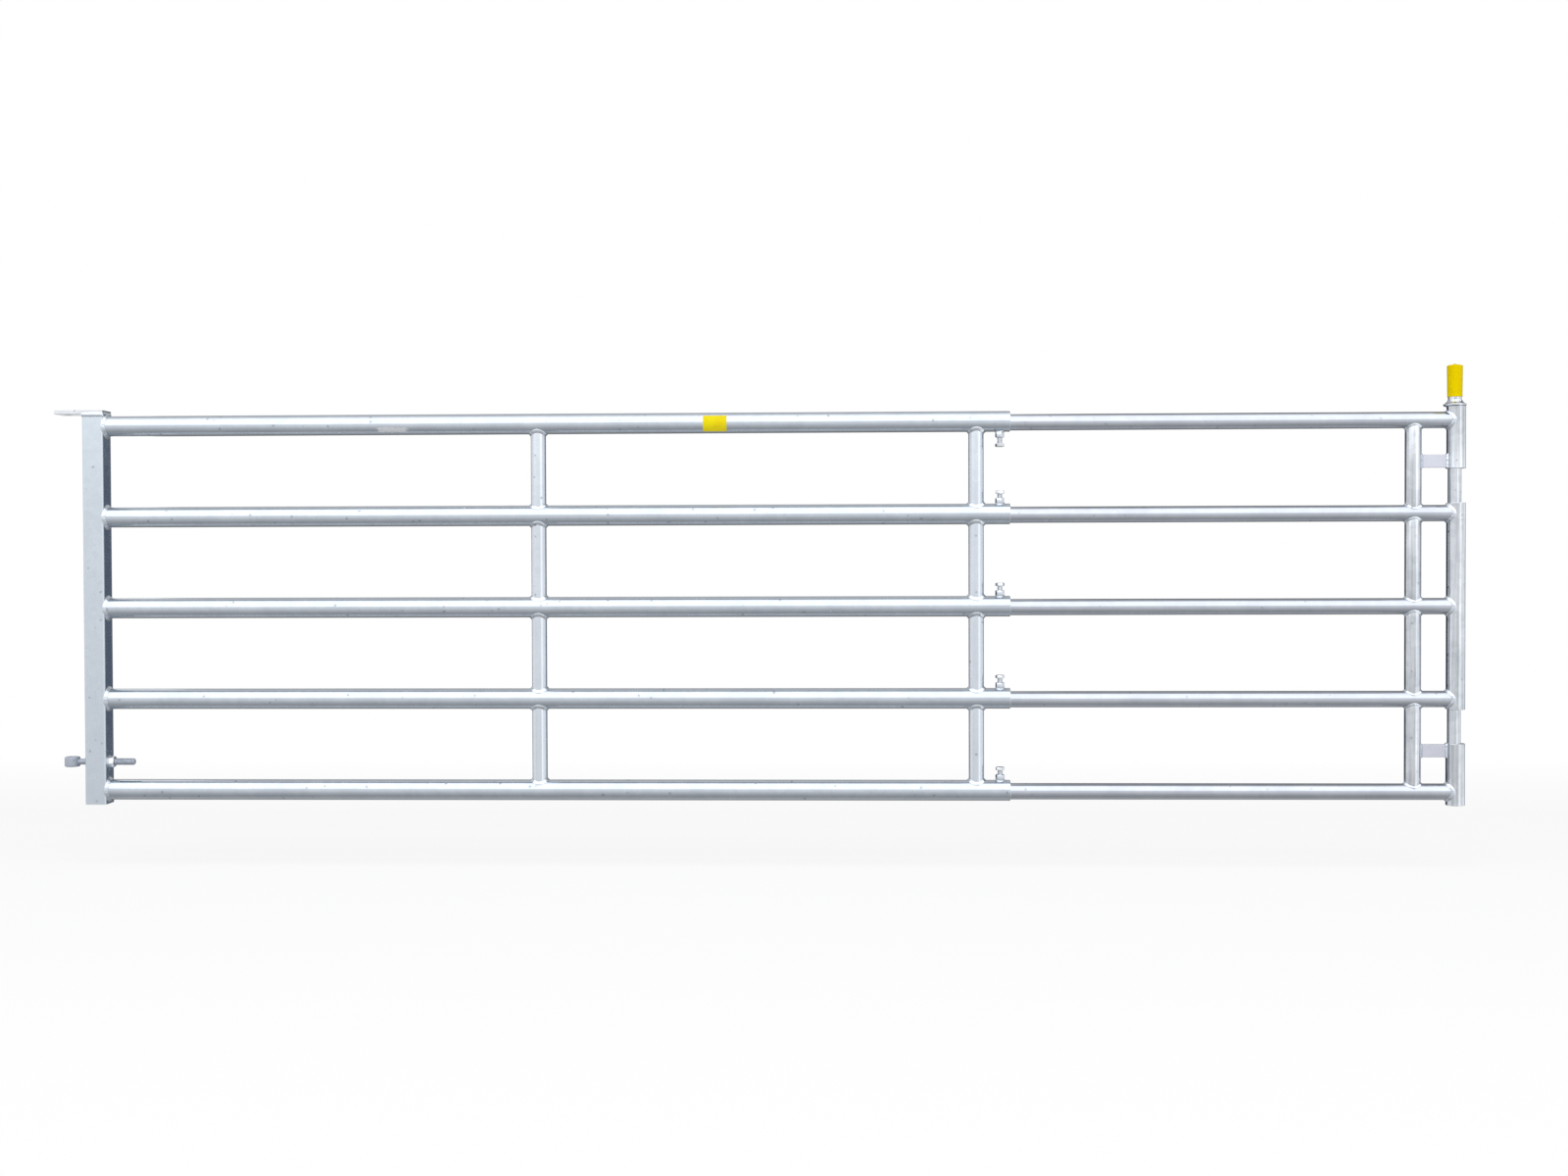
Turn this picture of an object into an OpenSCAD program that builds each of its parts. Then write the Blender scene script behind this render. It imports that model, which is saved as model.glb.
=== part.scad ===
// Extendable five-bar field gate of galvanised steel tube, in millimetres.
// X runs along the gate from the hinge side to the latch end, Y to the rear, and Z up.
// The origin is on the hinge axis, at the underside of the top hinge plate.

/* [Hinge post] */
// Width of the square post
post_w = 50; // [46:1:70]
// Wall of the square post
post_wall = 3; // [2:0.5:5]
// Outside corner radius of the square post
post_corner_r = 5; // [5:0.5:8]
// Height of the post's top above the top rail's upper edge
post_over_rail = 3; // [1:0.5:20]
// Reach of the post's foot below the bottom rail's lower edge
post_under_rail = 9; // [1:0.5:40]
// Distance from the hinge axis to the post's near face
hinge_reach = 40; // [34:1:60]

/* [Hinges] */
// Diameter of the hinge pins that the gate hangs on
hinge_pin_d = 16; // [12:0.5:20]
// Gap all round a hinge pin in its hole
hinge_pin_gap = 0.3; // [0.1:0.05:0.5]
// Thickness of the top hinge plate
plate_t = 10; // [6:1:16]
// Distance from the hinge hole's centre to the plate's free end
plate_end = 25; // [18:1:40]
// Wall of the eye round its hole
eye_wall = 9.2; // [6:0.1:12]
// Height of the eye
eye_h = 25; // [18:1:40]
// Thread diameter of the eye bolt
eye_bolt_d = 16; // [12:1:18]
// Height of the eye bolt above the bottom rail's centre
eye_bolt_up = 66; // [50:1:90]
// Length of thread that stands out of the eye bolt's nut
eye_bolt_tail = 48; // [30:1:80]
// Width across the flats of the eye bolt's nut
eye_nut_af = 24; // [22:1:36]
// Height of the eye bolt's nut
eye_nut_h = 13; // [8:0.5:18]

/* [Outer section] */
// Distance between the centres of neighbouring rails
rail_pitch = 215; // [190:1:260]
// Outside diameter of the outer rails
outer_rail_d = 48.3; // [45:0.1:54]
// Wall of the outer rails
outer_rail_wall = 2.6; // [2:0.1:3.2]
// Length of the outer rails from the post to their mouths
outer_rail_length = 2128; // [1800:1:2600]
// Outside diameter of the outer stiles
stile_d = 35; // [28:0.5:42]
// Wall of the stile tubes
stile_wall = 2.6; // [2:0.1:4]
// Distance from the post to the middle stile's centre
mid_stile_from_post = 1026; // [600:1:1500]
// Distance from the end stile's centre back from the rail mouths
end_stile_back = 78; // [66:1:150]

/* [Clamps] */
// Distance of the clamp screws back from the rail mouths
clamp_back = 23; // [18:1:30]
// Thread diameter of the clamp screws
clamp_d = 12; // [8:1:13]
// Length of a clamp screw under its head
clamp_length = 30; // [28:1:45]
// Width across the flats of a clamp screw's head and nut
clamp_af = 19; // [18:1:22]
// Height of a clamp screw's head
clamp_head_h = 7.5; // [5:0.5:10]
// Height of a clamp nut
clamp_nut_h = 10; // [6:0.5:12]
// Height of the weld that a clamp nut stands on
clamp_weld_h = 3; // [2:0.5:5]

/* [Sliding section] */
// How much smaller the inner rails are than the bore of the outer rails
rail_play = 5.1; // [2:0.1:7]
// Wall of the inner rails
inner_rail_wall = 2.6; // [2:0.1:4]
// Length of the inner rails that is hidden in the outer rails
inner_hidden = 1030; // [500:1:1200]
// Distance from the rail mouths to the latch guides' centre, as drawn out
drawn_out = 1027; // [300:1:1400]
// Distance from the inner stile's centre to the latch guides' centre
stile_to_guide = 98; // [70:1:200]
// How much narrower the inner stile is than the inner rails
inner_stile_step = 1; // [0.8:0.1:8]

/* [Latch] */
// Outside diameter of the latch rod
rod_d = 30; // [24:0.5:34]
// Wall of the latch rod
rod_wall = 3; // [2:0.5:6]
// How much smaller the latch rod is than the bore of its guides
rod_play = 7.2; // [2:0.1:10]
// Wall of the latch guides
guide_wall = 2.6; // [2:0.1:4]
// Reach of the upper and lower guide beyond the edge of the end rails
guide_over_rail = 12; // [4:1:30]
// Reach of the middle guide beyond the edge of its end rails
middle_guide_over_rail = 5; // [3:0.5:20]
// Height of the two gaps between the guides
catch_gap = 79; // [60:1:90]
// Height of the flat-bar brackets
bracket_h = 30; // [20:1:40]
// Thickness of the flat-bar brackets
bracket_t = 8; // [5:0.5:12]
// Distance from a bracket to the guide's end at the gap
bracket_inset = 2; // [0:0.5:10]
// Height of the rod's foot above the lower guide's lower end
rod_foot_up = 5; // [0:1:30]
// Width of the collar's rim beyond the rod
collar_rim = 10.5; // [8:0.5:16]
// Thickness of the collar's rim
collar_t = 5.5; // [3:0.5:10]
// Height of the collar's conical weld above its rim
collar_cone_h = 9.5; // [5:0.5:14]
// Bare length of rod between the collar and the grip
rod_neck = 6.5; // [2:0.5:20]
// Length of the grip
grip_length = 75; // [50:1:120]
// Wall of the grip at its top
grip_wall = 2.6; // [2:0.1:5]
// How much thinner the grip's wall is at its foot
grip_taper = 0.7; // [0:0.1:1]
// Thickness of the grip's closed top
grip_cap_t = 4; // [3:0.5:8]
// Rise of the dome on the grip's top
grip_dome = 3; // [1:0.5:5]

/* [Clearances] */
// Gap between a sliding rail or the rod and the bore it lies in
slide_gap = 0.3; // [0.2:0.05:0.5]
// Gap all round a screw in its nut
thread_gap = 0.05; // [0.02:0.01:0.1]
// Gap all round a screw in a plain hole
screw_hole_gap = 0.4; // [0.3:0.05:0.5]
// Gap between a clamp screw's tip and the inner rail
clamp_tip_gap = 0.3; // [0.2:0.05:0.5]

/* [Hidden] */
$fn = 64;
zinc = [0.78, 0.81, 0.84];
bright_zinc = [0.88, 0.89, 0.91];
yellow = [0.91, 0.80, 0.02];

// The outermost tip of each clamp screw's and bolt's thread is chamfered by this much
tip_chamfer = 1.2;
// Slope of the chamfer on a hexagon head or nut
hex_chamfer_angle = 30;
// A cut runs past the face it opens by this much
over = 1;
// Height and width of the moulding nub on the grip's top
nub_h = 1.5;
nub_d = 6;
// Wall of the collar's conical weld at its top
cone_top_wall = 1;
// Least corner radius inside the post
least_corner_r = 0.5;
// Angle at which each clamp screw's head has stopped
head_turn = [12, 20, 4, 50, 33];

rail_count = 5;
outer_rail_r = outer_rail_d / 2;
outer_bore_r = outer_rail_r - outer_rail_wall;
inner_rail_r = outer_bore_r - rail_play / 2;
inner_bore_r = inner_rail_r - inner_rail_wall;
stile_r = stile_d / 2;
inner_stile_r = inner_rail_r - inner_stile_step / 2;
rod_r = rod_d / 2;
guide_bore_r = rod_r + rod_play / 2;
guide_r = guide_bore_r + guide_wall;
hinge_hole_r = hinge_pin_d / 2 + hinge_pin_gap;
eye_r = hinge_hole_r + eye_wall;

// Positions along the gate
post_x = hinge_reach;
rail_x = post_x + post_w;
mouth_x = rail_x + outer_rail_length;
mid_stile_x = rail_x + mid_stile_from_post;
end_stile_x = mouth_x - end_stile_back;
clamp_x = mouth_x - clamp_back;
inner_start_x = mouth_x - inner_hidden;
guide_x = mouth_x + drawn_out;
inner_stile_x = guide_x - stile_to_guide;

// The inner rails lie low in the outer ones, and the rod leans towards the gate in its guides
inner_drop = rail_play / 2 - slide_gap;
rod_lean = rod_play / 2 - slide_gap;
rod_x = guide_x - rod_lean;

// Heights
function rail_z(i) = -(outer_rail_r + post_over_rail) - rail_pitch * i;
function inner_z(i) = rail_z(i) - inner_drop;
last = rail_count - 1;
post_foot_z = rail_z(last) - outer_rail_r - post_under_rail;
eye_bolt_z = rail_z(last) + eye_bolt_up;
upper_top_z = inner_z(0) + inner_rail_r + guide_over_rail;
middle_top_z = inner_z(1) + inner_rail_r + middle_guide_over_rail;
middle_foot_z = inner_z(last - 1) - inner_rail_r - middle_guide_over_rail;
lower_foot_z = inner_z(last) - inner_rail_r - guide_over_rail;
upper_foot_z = middle_top_z + catch_gap;
lower_top_z = middle_foot_z - catch_gap;
collar_z = upper_top_z;
grip_z = collar_z + collar_t + collar_cone_h + rod_neck;
grip_r = rod_r + grip_wall;
grip_foot_r = grip_r - grip_taper;
rod_top_z = grip_z + grip_length - grip_cap_t;
rod_foot_z = lower_foot_z + rod_foot_up;

// The top rail's clamp points down, and the other rails' clamps point up
function clamp_flip(i) = i == 0 ? 180 : 0;
function clamp_tip_r(i) = inner_rail_r + (i == 0 ? inner_drop : -inner_drop) + clamp_tip_gap;

// Shapes that several pieces share

// A round bar along X
module bar_x(x0, x1, r) {
  translate([x0, 0, 0])
    rotate([0, 90, 0])
      cylinder(r = r, h = x1 - x0);
}

// A round tube along Z
module tube_z(z0, z1, r, bore_r) {
  translate([0, 0, z0])
    difference() {
      cylinder(r = r, h = z1 - z0);
      translate([0, 0, -over])
        cylinder(r = bore_r, h = z1 - z0 + 2 * over);
    }
}

// A square bar with round edges, standing on z = 0
module square_bar(w, r, h) {
  inner_w = w - 2 * r;
  translate([-w / 2, -inner_w / 2, 0])
    cube([w, inner_w, h]);
  translate([-inner_w / 2, -w / 2, 0])
    cube([inner_w, w, h]);
  for (sx = [-1, 1], sy = [-1, 1])
    translate([sx * inner_w / 2, sy * inner_w / 2, 0])
      cylinder(r = r, h = h);
}

// A hexagon whose top corners are chamfered
module hexagon(af, h) {
  corner_r = af / 2 / cos(30);
  drop = (corner_r - af / 2) * tan(hex_chamfer_angle);
  intersection() {
    cylinder(r = corner_r, h = h, $fn = 6);
    union() {
      cylinder(r = corner_r + over, h = h - drop);
      translate([0, 0, h - drop])
        cylinder(r1 = corner_r, r2 = af / 2, h = drop);
    }
  }
}

// A threaded shank with a chamfered tip at z = 0
module shank(d, length) {
  cylinder(r1 = d / 2 - tip_chamfer, r2 = d / 2, h = tip_chamfer);
  translate([0, 0, tip_chamfer])
    cylinder(d = d, h = length - tip_chamfer);
}

// One length of stile between rails i and i + 1, with its ends cut to the rails
module stile_length(x, r, rail_r, z_top, z_bottom) {
  translate([x, 0, 0])
    difference() {
      tube_z(z_bottom, z_top, r, r - stile_wall);
      for (z = [z_bottom, z_top])
        translate([0, 0, z])
          bar_x(-2 * r, 2 * r, rail_r);
    }
}

module outer_stile(x, i) {
  color(zinc)
    stile_length(x, stile_r, outer_rail_r, rail_z(i), rail_z(i + 1));
}

module inner_stile(i) {
  color(zinc)
    stile_length(inner_stile_x, inner_stile_r, inner_rail_r, inner_z(i), inner_z(i + 1));
}

// An outer rail with the hole for its clamp screw
module outer_rail(i) {
  color(zinc)
    translate([0, 0, rail_z(i)])
      difference() {
        bar_x(rail_x, mouth_x, outer_rail_r);
        bar_x(rail_x - over, mouth_x + over, outer_bore_r);
        translate([clamp_x, 0, 0])
          rotate([clamp_flip(i), 0, 0])
            cylinder(r = clamp_d / 2 + screw_hole_gap, h = outer_rail_r + over);
      }
}

// A clamp nut on its weld, shaped to the rail it stands on
module clamp_nut(i) {
  corner_r = clamp_af / 2 / cos(30);
  nut_z = outer_rail_r + clamp_weld_h;
  // The weld reaches as far down the rail's side as it stands above the rail
  weld_h = 2 * clamp_weld_h;
  color(zinc)
    translate([clamp_x, 0, rail_z(i)])
      rotate([clamp_flip(i), 0, 0])
        difference() {
          union() {
            translate([0, 0, nut_z])
              hexagon(clamp_af, clamp_nut_h);
            translate([0, 0, nut_z - weld_h])
              cylinder(r1 = corner_r + weld_h, r2 = corner_r, h = weld_h);
          }
          bar_x(-clamp_back - outer_rail_r, clamp_back + outer_rail_r, outer_rail_r);
          cylinder(r = clamp_d / 2 + thread_gap, h = nut_z + clamp_nut_h + over);
        }
}

// A clamp screw, with its tip close to the inner rail
module clamp_screw(i) {
  color(bright_zinc)
    translate([clamp_x, 0, rail_z(i)])
      rotate([clamp_flip(i), 0, 0])
        translate([0, 0, clamp_tip_r(i)]) {
          shank(clamp_d, clamp_length);
          translate([0, 0, clamp_length])
            rotate([0, 0, head_turn[i]])
              hexagon(clamp_af, clamp_head_h);
        }
}

// An inner rail, with its far end cut to the latch guide
module inner_rail(i) {
  color(bright_zinc)
    translate([0, 0, inner_z(i)])
      difference() {
        bar_x(inner_start_x, guide_x, inner_rail_r);
        bar_x(inner_start_x - over, guide_x + over, inner_bore_r);
        translate([guide_x, 0, -inner_rail_r - over])
          cylinder(r = guide_r, h = 2 * (inner_rail_r + over));
      }
}

module guide(z0, z1) {
  color(bright_zinc)
    translate([guide_x, 0, 0])
      tube_z(z0, z1, guide_r, guide_bore_r);
}

// A flat bar between the inner stile and a guide, with its ends cut to both
module bracket(z0) {
  color(zinc)
    difference() {
      translate([inner_stile_x, -bracket_t / 2, z0])
        cube([stile_to_guide, bracket_t, bracket_h]);
      translate([inner_stile_x, 0, z0 - over])
        cylinder(r = inner_stile_r, h = bracket_h + 2 * over);
      translate([guide_x, 0, z0 - over])
        cylinder(r = guide_r, h = bracket_h + 2 * over);
    }
}

// The pieces

module hinge_post() {
  post_h = -post_foot_z;
  inside_corner_r = max(post_corner_r - post_wall, least_corner_r);
  color(zinc)
    translate([post_x + post_w / 2, 0, post_foot_z])
      difference() {
        square_bar(post_w, post_corner_r, post_h);
        translate([0, 0, -over])
          square_bar(post_w - 2 * post_wall, inside_corner_r, post_h + 2 * over);
        translate([0, 0, eye_bolt_z - post_foot_z])
          bar_x(-post_w, post_w, eye_bolt_d / 2 + screw_hole_gap);
      }
}

module top_hinge_plate() {
  color(zinc)
    difference() {
      translate([-plate_end, -post_w / 2, 0])
        cube([plate_end + rail_x, post_w, plate_t]);
      translate([0, 0, -over])
        cylinder(r = hinge_hole_r, h = plate_t + 2 * over);
    }
}

module eye_bolt() {
  color(zinc)
    translate([0, 0, eye_bolt_z])
      difference() {
        union() {
          translate([0, 0, -eye_h / 2])
            cylinder(r = eye_r, h = eye_h);
          translate([rail_x + eye_nut_h + eye_bolt_tail, 0, 0])
            rotate([0, -90, 0])
              shank(eye_bolt_d, rail_x + eye_nut_h + eye_bolt_tail);
        }
        translate([0, 0, -eye_h / 2 - over])
          cylinder(r = hinge_hole_r, h = eye_h + 2 * over);
      }
}

module eye_bolt_nut() {
  color(zinc)
    translate([rail_x, 0, eye_bolt_z])
      rotate([0, 90, 0])
        difference() {
          hexagon(eye_nut_af, eye_nut_h);
          translate([0, 0, -over])
            cylinder(r = eye_bolt_d / 2 + thread_gap, h = eye_nut_h + 2 * over);
        }
}

module outer_rail_1() { outer_rail(0); }
module outer_rail_2() { outer_rail(1); }
module outer_rail_3() { outer_rail(2); }
module outer_rail_4() { outer_rail(3); }
module outer_rail_5() { outer_rail(4); }

module mid_stile_1() { outer_stile(mid_stile_x, 0); }
module mid_stile_2() { outer_stile(mid_stile_x, 1); }
module mid_stile_3() { outer_stile(mid_stile_x, 2); }
module mid_stile_4() { outer_stile(mid_stile_x, 3); }

module end_stile_1() { outer_stile(end_stile_x, 0); }
module end_stile_2() { outer_stile(end_stile_x, 1); }
module end_stile_3() { outer_stile(end_stile_x, 2); }
module end_stile_4() { outer_stile(end_stile_x, 3); }

module clamp_nut_1() { clamp_nut(0); }
module clamp_nut_2() { clamp_nut(1); }
module clamp_nut_3() { clamp_nut(2); }
module clamp_nut_4() { clamp_nut(3); }
module clamp_nut_5() { clamp_nut(4); }

module clamp_screw_1() { clamp_screw(0); }
module clamp_screw_2() { clamp_screw(1); }
module clamp_screw_3() { clamp_screw(2); }
module clamp_screw_4() { clamp_screw(3); }
module clamp_screw_5() { clamp_screw(4); }

module inner_rail_1() { inner_rail(0); }
module inner_rail_2() { inner_rail(1); }
module inner_rail_3() { inner_rail(2); }
module inner_rail_4() { inner_rail(3); }
module inner_rail_5() { inner_rail(4); }

module inner_stile_1() { inner_stile(0); }
module inner_stile_2() { inner_stile(1); }
module inner_stile_3() { inner_stile(2); }
module inner_stile_4() { inner_stile(3); }

module upper_guide() { guide(upper_foot_z, upper_top_z); }
module middle_guide() { guide(middle_foot_z, middle_top_z); }
module lower_guide() { guide(lower_foot_z, lower_top_z); }

module upper_bracket() { bracket(upper_foot_z + bracket_inset); }
module lower_bracket() { bracket(lower_top_z - bracket_inset - bracket_h); }

module latch_rod() {
  color(bright_zinc)
    translate([rod_x, 0, 0])
      tube_z(rod_foot_z, rod_top_z, rod_r, rod_r - rod_wall);
}

// A rim that rests on the upper guide, and the conical weld that joins it to the rod
module latch_collar() {
  color(bright_zinc)
    translate([rod_x, 0, collar_z])
      difference() {
        union() {
          cylinder(r = rod_r + collar_rim, h = collar_t);
          translate([0, 0, collar_t])
            cylinder(r1 = rod_r + collar_rim, r2 = rod_r + cone_top_wall, h = collar_cone_h);
        }
        translate([0, 0, -over])
          cylinder(r = rod_r, h = collar_t + collar_cone_h + 2 * over);
      }
}

// A closed sleeve with a domed top and a moulding nub
module grip() {
  side_h = grip_length - grip_dome;
  dome_r = (grip_r * grip_r + grip_dome * grip_dome) / 2 / grip_dome;
  color(yellow)
    translate([rod_x, 0, grip_z])
      difference() {
        union() {
          cylinder(r1 = grip_foot_r, r2 = grip_r, h = side_h);
          intersection() {
            translate([0, 0, grip_length - dome_r])
              sphere(r = dome_r);
            translate([0, 0, side_h])
              cylinder(r = grip_r, h = grip_dome);
          }
          translate([0, 0, side_h])
            cylinder(d = nub_d, h = grip_dome + nub_h);
        }
        translate([0, 0, -over])
          cylinder(r = rod_r, h = grip_length - grip_cap_t + over);
      }
}

hinge_post();
top_hinge_plate();
eye_bolt();
eye_bolt_nut();
outer_rail_1();
outer_rail_2();
outer_rail_3();
outer_rail_4();
outer_rail_5();
mid_stile_1();
mid_stile_2();
mid_stile_3();
mid_stile_4();
end_stile_1();
end_stile_2();
end_stile_3();
end_stile_4();
clamp_nut_1();
clamp_nut_2();
clamp_nut_3();
clamp_nut_4();
clamp_nut_5();
clamp_screw_1();
clamp_screw_2();
clamp_screw_3();
clamp_screw_4();
clamp_screw_5();
inner_rail_1();
inner_rail_2();
inner_rail_3();
inner_rail_4();
inner_rail_5();
inner_stile_1();
inner_stile_2();
inner_stile_3();
inner_stile_4();
upper_guide();
middle_guide();
lower_guide();
upper_bracket();
lower_bracket();
latch_rod();
latch_collar();
grip();
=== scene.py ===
import math
import bmesh
import bpy
import numpy as np
from mathutils import Matrix, Vector


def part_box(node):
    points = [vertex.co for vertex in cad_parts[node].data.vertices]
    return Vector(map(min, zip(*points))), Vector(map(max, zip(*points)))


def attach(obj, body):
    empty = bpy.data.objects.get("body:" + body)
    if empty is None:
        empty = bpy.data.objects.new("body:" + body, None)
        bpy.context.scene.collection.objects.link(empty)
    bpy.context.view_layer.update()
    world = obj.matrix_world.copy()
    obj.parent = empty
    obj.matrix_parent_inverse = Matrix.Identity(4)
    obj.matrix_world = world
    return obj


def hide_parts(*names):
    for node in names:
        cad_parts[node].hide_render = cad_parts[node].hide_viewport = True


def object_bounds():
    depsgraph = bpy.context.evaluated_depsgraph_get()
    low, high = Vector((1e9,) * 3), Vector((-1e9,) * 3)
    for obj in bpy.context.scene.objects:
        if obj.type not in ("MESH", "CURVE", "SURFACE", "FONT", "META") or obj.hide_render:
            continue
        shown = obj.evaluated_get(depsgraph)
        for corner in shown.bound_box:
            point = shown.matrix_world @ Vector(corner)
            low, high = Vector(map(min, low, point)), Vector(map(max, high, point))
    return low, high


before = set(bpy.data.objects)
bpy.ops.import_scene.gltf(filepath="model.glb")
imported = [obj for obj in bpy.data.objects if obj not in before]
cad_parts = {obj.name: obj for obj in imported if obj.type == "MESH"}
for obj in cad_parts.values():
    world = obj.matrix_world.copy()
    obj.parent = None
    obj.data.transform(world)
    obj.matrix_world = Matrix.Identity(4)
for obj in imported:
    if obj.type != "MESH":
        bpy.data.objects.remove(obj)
cadLow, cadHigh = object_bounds()
scene = bpy.context.scene
mm = 0.001
fullTurn = 2 * math.pi
print("frame loaded:", len(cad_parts), "solids")


# a socket that takes part in Python sums
class Wire:
    def __init__(self, sheet, socket):
        self.sheet, self.socket = sheet, socket

    def out(self, name):
        return Wire(self.sheet, self.socket.node.outputs[name])

    def math(self, operation, *more):
        return self.sheet.node("ShaderNodeMath", {"operation": operation}, dict(enumerate((self, *more))))

    def flipped(self, operation, first):
        return self.sheet.node("ShaderNodeMath", {"operation": operation}, {0: first, 1: self})

    def __add__(self, other):
        return self.math("ADD", other)

    def __sub__(self, other):
        return self.math("SUBTRACT", other)

    def __rsub__(self, other):
        return self.flipped("SUBTRACT", other)

    def __mul__(self, other):
        return self.math("MULTIPLY", other)

    def __truediv__(self, other):
        return self.math("DIVIDE", other)

    def __rtruediv__(self, other):
        return self.flipped("DIVIDE", other)

    __radd__ = __add__
    __rmul__ = __mul__


# a node tree, for shaders and geometry alike
class NodeSheet:
    def __init__(self, tree):
        self.tree = tree

    def node(self, kind, settings=None, sockets=None, out=0):
        made = self.tree.nodes.new(kind)
        for key, value in (settings or {}).items():
            if key == "captures":
                for itemKind, label in value:
                    made.capture_items.new(itemKind, label)
            elif key == "stops":
                ramp = made.color_ramp
                while len(ramp.elements) < len(value):
                    ramp.elements.new(0.5)
                for element, (place, tone) in zip(ramp.elements, value):
                    element.position, element.color = place, (tone, tone, tone, 1)
            else:
                setattr(made, key, value)
        for key, value in (sockets or {}).items():
            for one in value if isinstance(value, list) else [value]:
                if isinstance(one, Wire):
                    self.tree.links.new(one.socket, made.inputs[key])
                else:
                    made.inputs[key].default_value = one
        return Wire(self, made.outputs[out] if len(made.outputs) else None)

    def noise(self, place, scale, detail, out=0, settings=None, **more):
        sockets = {"Vector": place, "Scale": scale, "Detail": detail, **more}
        return self.node("ShaderNodeTexNoise", settings, sockets, out)

    def parts(self, vector):  # gives x, and y and z through out()
        return self.node("ShaderNodeSeparateXYZ", None, {0: vector})

    def blend(self, share, one, two):  # colours, a plain one as three numbers
        one, two = (c if isinstance(c, Wire) else (*c, 1) for c in (one, two))
        return self.node("ShaderNodeMix", {"data_type": "RGBA"}, {0: share, 6: one, 7: two}, 2)

    def vector(self, operation, *vectors, scale=None):
        sockets = dict(enumerate(vectors))
        if scale is not None:
            sockets["Scale"] = scale
        return self.node("ShaderNodeVectorMath", {"operation": operation}, sockets)

    def ranged(self, value, low, high, toLow=0.0, toHigh=1.0):
        sockets = {"Value": value, "From Min": low, "From Max": high, "To Min": toLow, "To Max": toHigh}
        return self.node("ShaderNodeMapRange", {"clamp": True}, sockets)

    def surface(self, shader, kind="Material"):
        self.node("ShaderNodeOutput" + kind, None, {"Surface": shader})


def paint(name):
    material = bpy.data.materials.new(name)
    material.use_nodes = True
    material.node_tree.nodes.clear()
    return material, NodeSheet(material.node_tree)


# zinc finishes: colours are the dark and the pale end of the spangle, wave is the dip's unevenness in mm
zincLooks = {
    "railZinc": {"dark": (0.51, 0.56, 0.63), "pale": (0.67, 0.725, 0.795), "streak": (3, 120, 120),
                 "rough": 0.11, "spangle": 0.2, "streakDepth": 0.3, "speck": 0.6, "wave": 0.16,
                 "bloom": {"spot": (0.775, -0.021, -0.0403), "half": (0.036, 0.016, 0.0054),
                           "tone": (0.63, 0.65, 0.67)}},
    "stileZinc": {"dark": (0.60, 0.65, 0.715), "pale": (0.74, 0.79, 0.855), "streak": (120, 120, 4),
                  "rough": 0.22, "spangle": 0.15, "streakDepth": 0.35, "speck": 0.6, "wave": 0.12},
    "postZinc": {"dark": (0.565, 0.625, 0.69), "pale": (0.625, 0.685, 0.75), "streak": (60, 60, 3),
                 "rough": 0.26, "spangle": 0.3, "streakDepth": 0.4, "speck": 0.55, "wave": 0.16},
    "plateZinc": {"dark": (0.57, 0.59, 0.62), "pale": (0.73, 0.75, 0.785), "streak": (40, 40, 40),
                  "rough": 0.34, "spangle": 0.3, "streakDepth": 0.4, "speck": 0.9, "wave": 0.2},
    "bracketZinc": {"dark": (0.53, 0.545, 0.625), "pale": (0.605, 0.62, 0.70), "streak": (40, 40, 40),
                    "rough": 0.36, "spangle": 0.18, "streakDepth": 0.3, "speck": 0.2, "wave": 0.08},
    "smoothRailZinc": {"dark": (0.45, 0.485, 0.55), "pale": (0.635, 0.67, 0.735), "streak": (2, 170, 170),
                       "rough": 0.05, "spangle": 0.15, "streakDepth": 0.8, "speck": 0.4, "wave": 0.04},
    "smoothTubeZinc": {"dark": (0.41, 0.44, 0.485), "pale": (0.79, 0.825, 0.87), "streak": (150, 150, 4),
                       "rough": 0.08, "spangle": 0.2, "streakDepth": 2.0, "speck": 0.5, "wave": 0.14},
    "boltZinc": {"dark": (0.43, 0.465, 0.53), "pale": (0.53, 0.565, 0.635), "streak": (90, 90, 90),
                 "rough": 0.72, "spangle": 0.3, "streakDepth": 0.6, "speck": 0.6, "wave": 0.1},
    "screwZinc": {"dark": (0.64, 0.66, 0.70), "pale": (0.82, 0.84, 0.88), "streak": (90, 90, 90),
                  "rough": 0.24, "spangle": 0.3, "streakDepth": 0.6, "speck": 0.6, "wave": 0.1},
    "weldZinc": {"dark": (0.58, 0.63, 0.70), "pale": (0.77, 0.82, 0.88), "streak": (150, 150, 150),
                 "rough": 0.18, "spangle": 0.3, "streakDepth": 0.6, "speck": 0.9, "wave": 0.4},
}
zincScales = {"drift": 90.0, "spangle": 75.0, "dross": 70.0, "cloud": 9.0, "grain": 700.0, "wave": 42.0}
zincDepths = {"spangle": 0.010, "streak": 0.015, "grain": 0.006, "dross": 0.10}  # of the bump, in mm
drossTone = (0.20, 0.23, 0.27)


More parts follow.
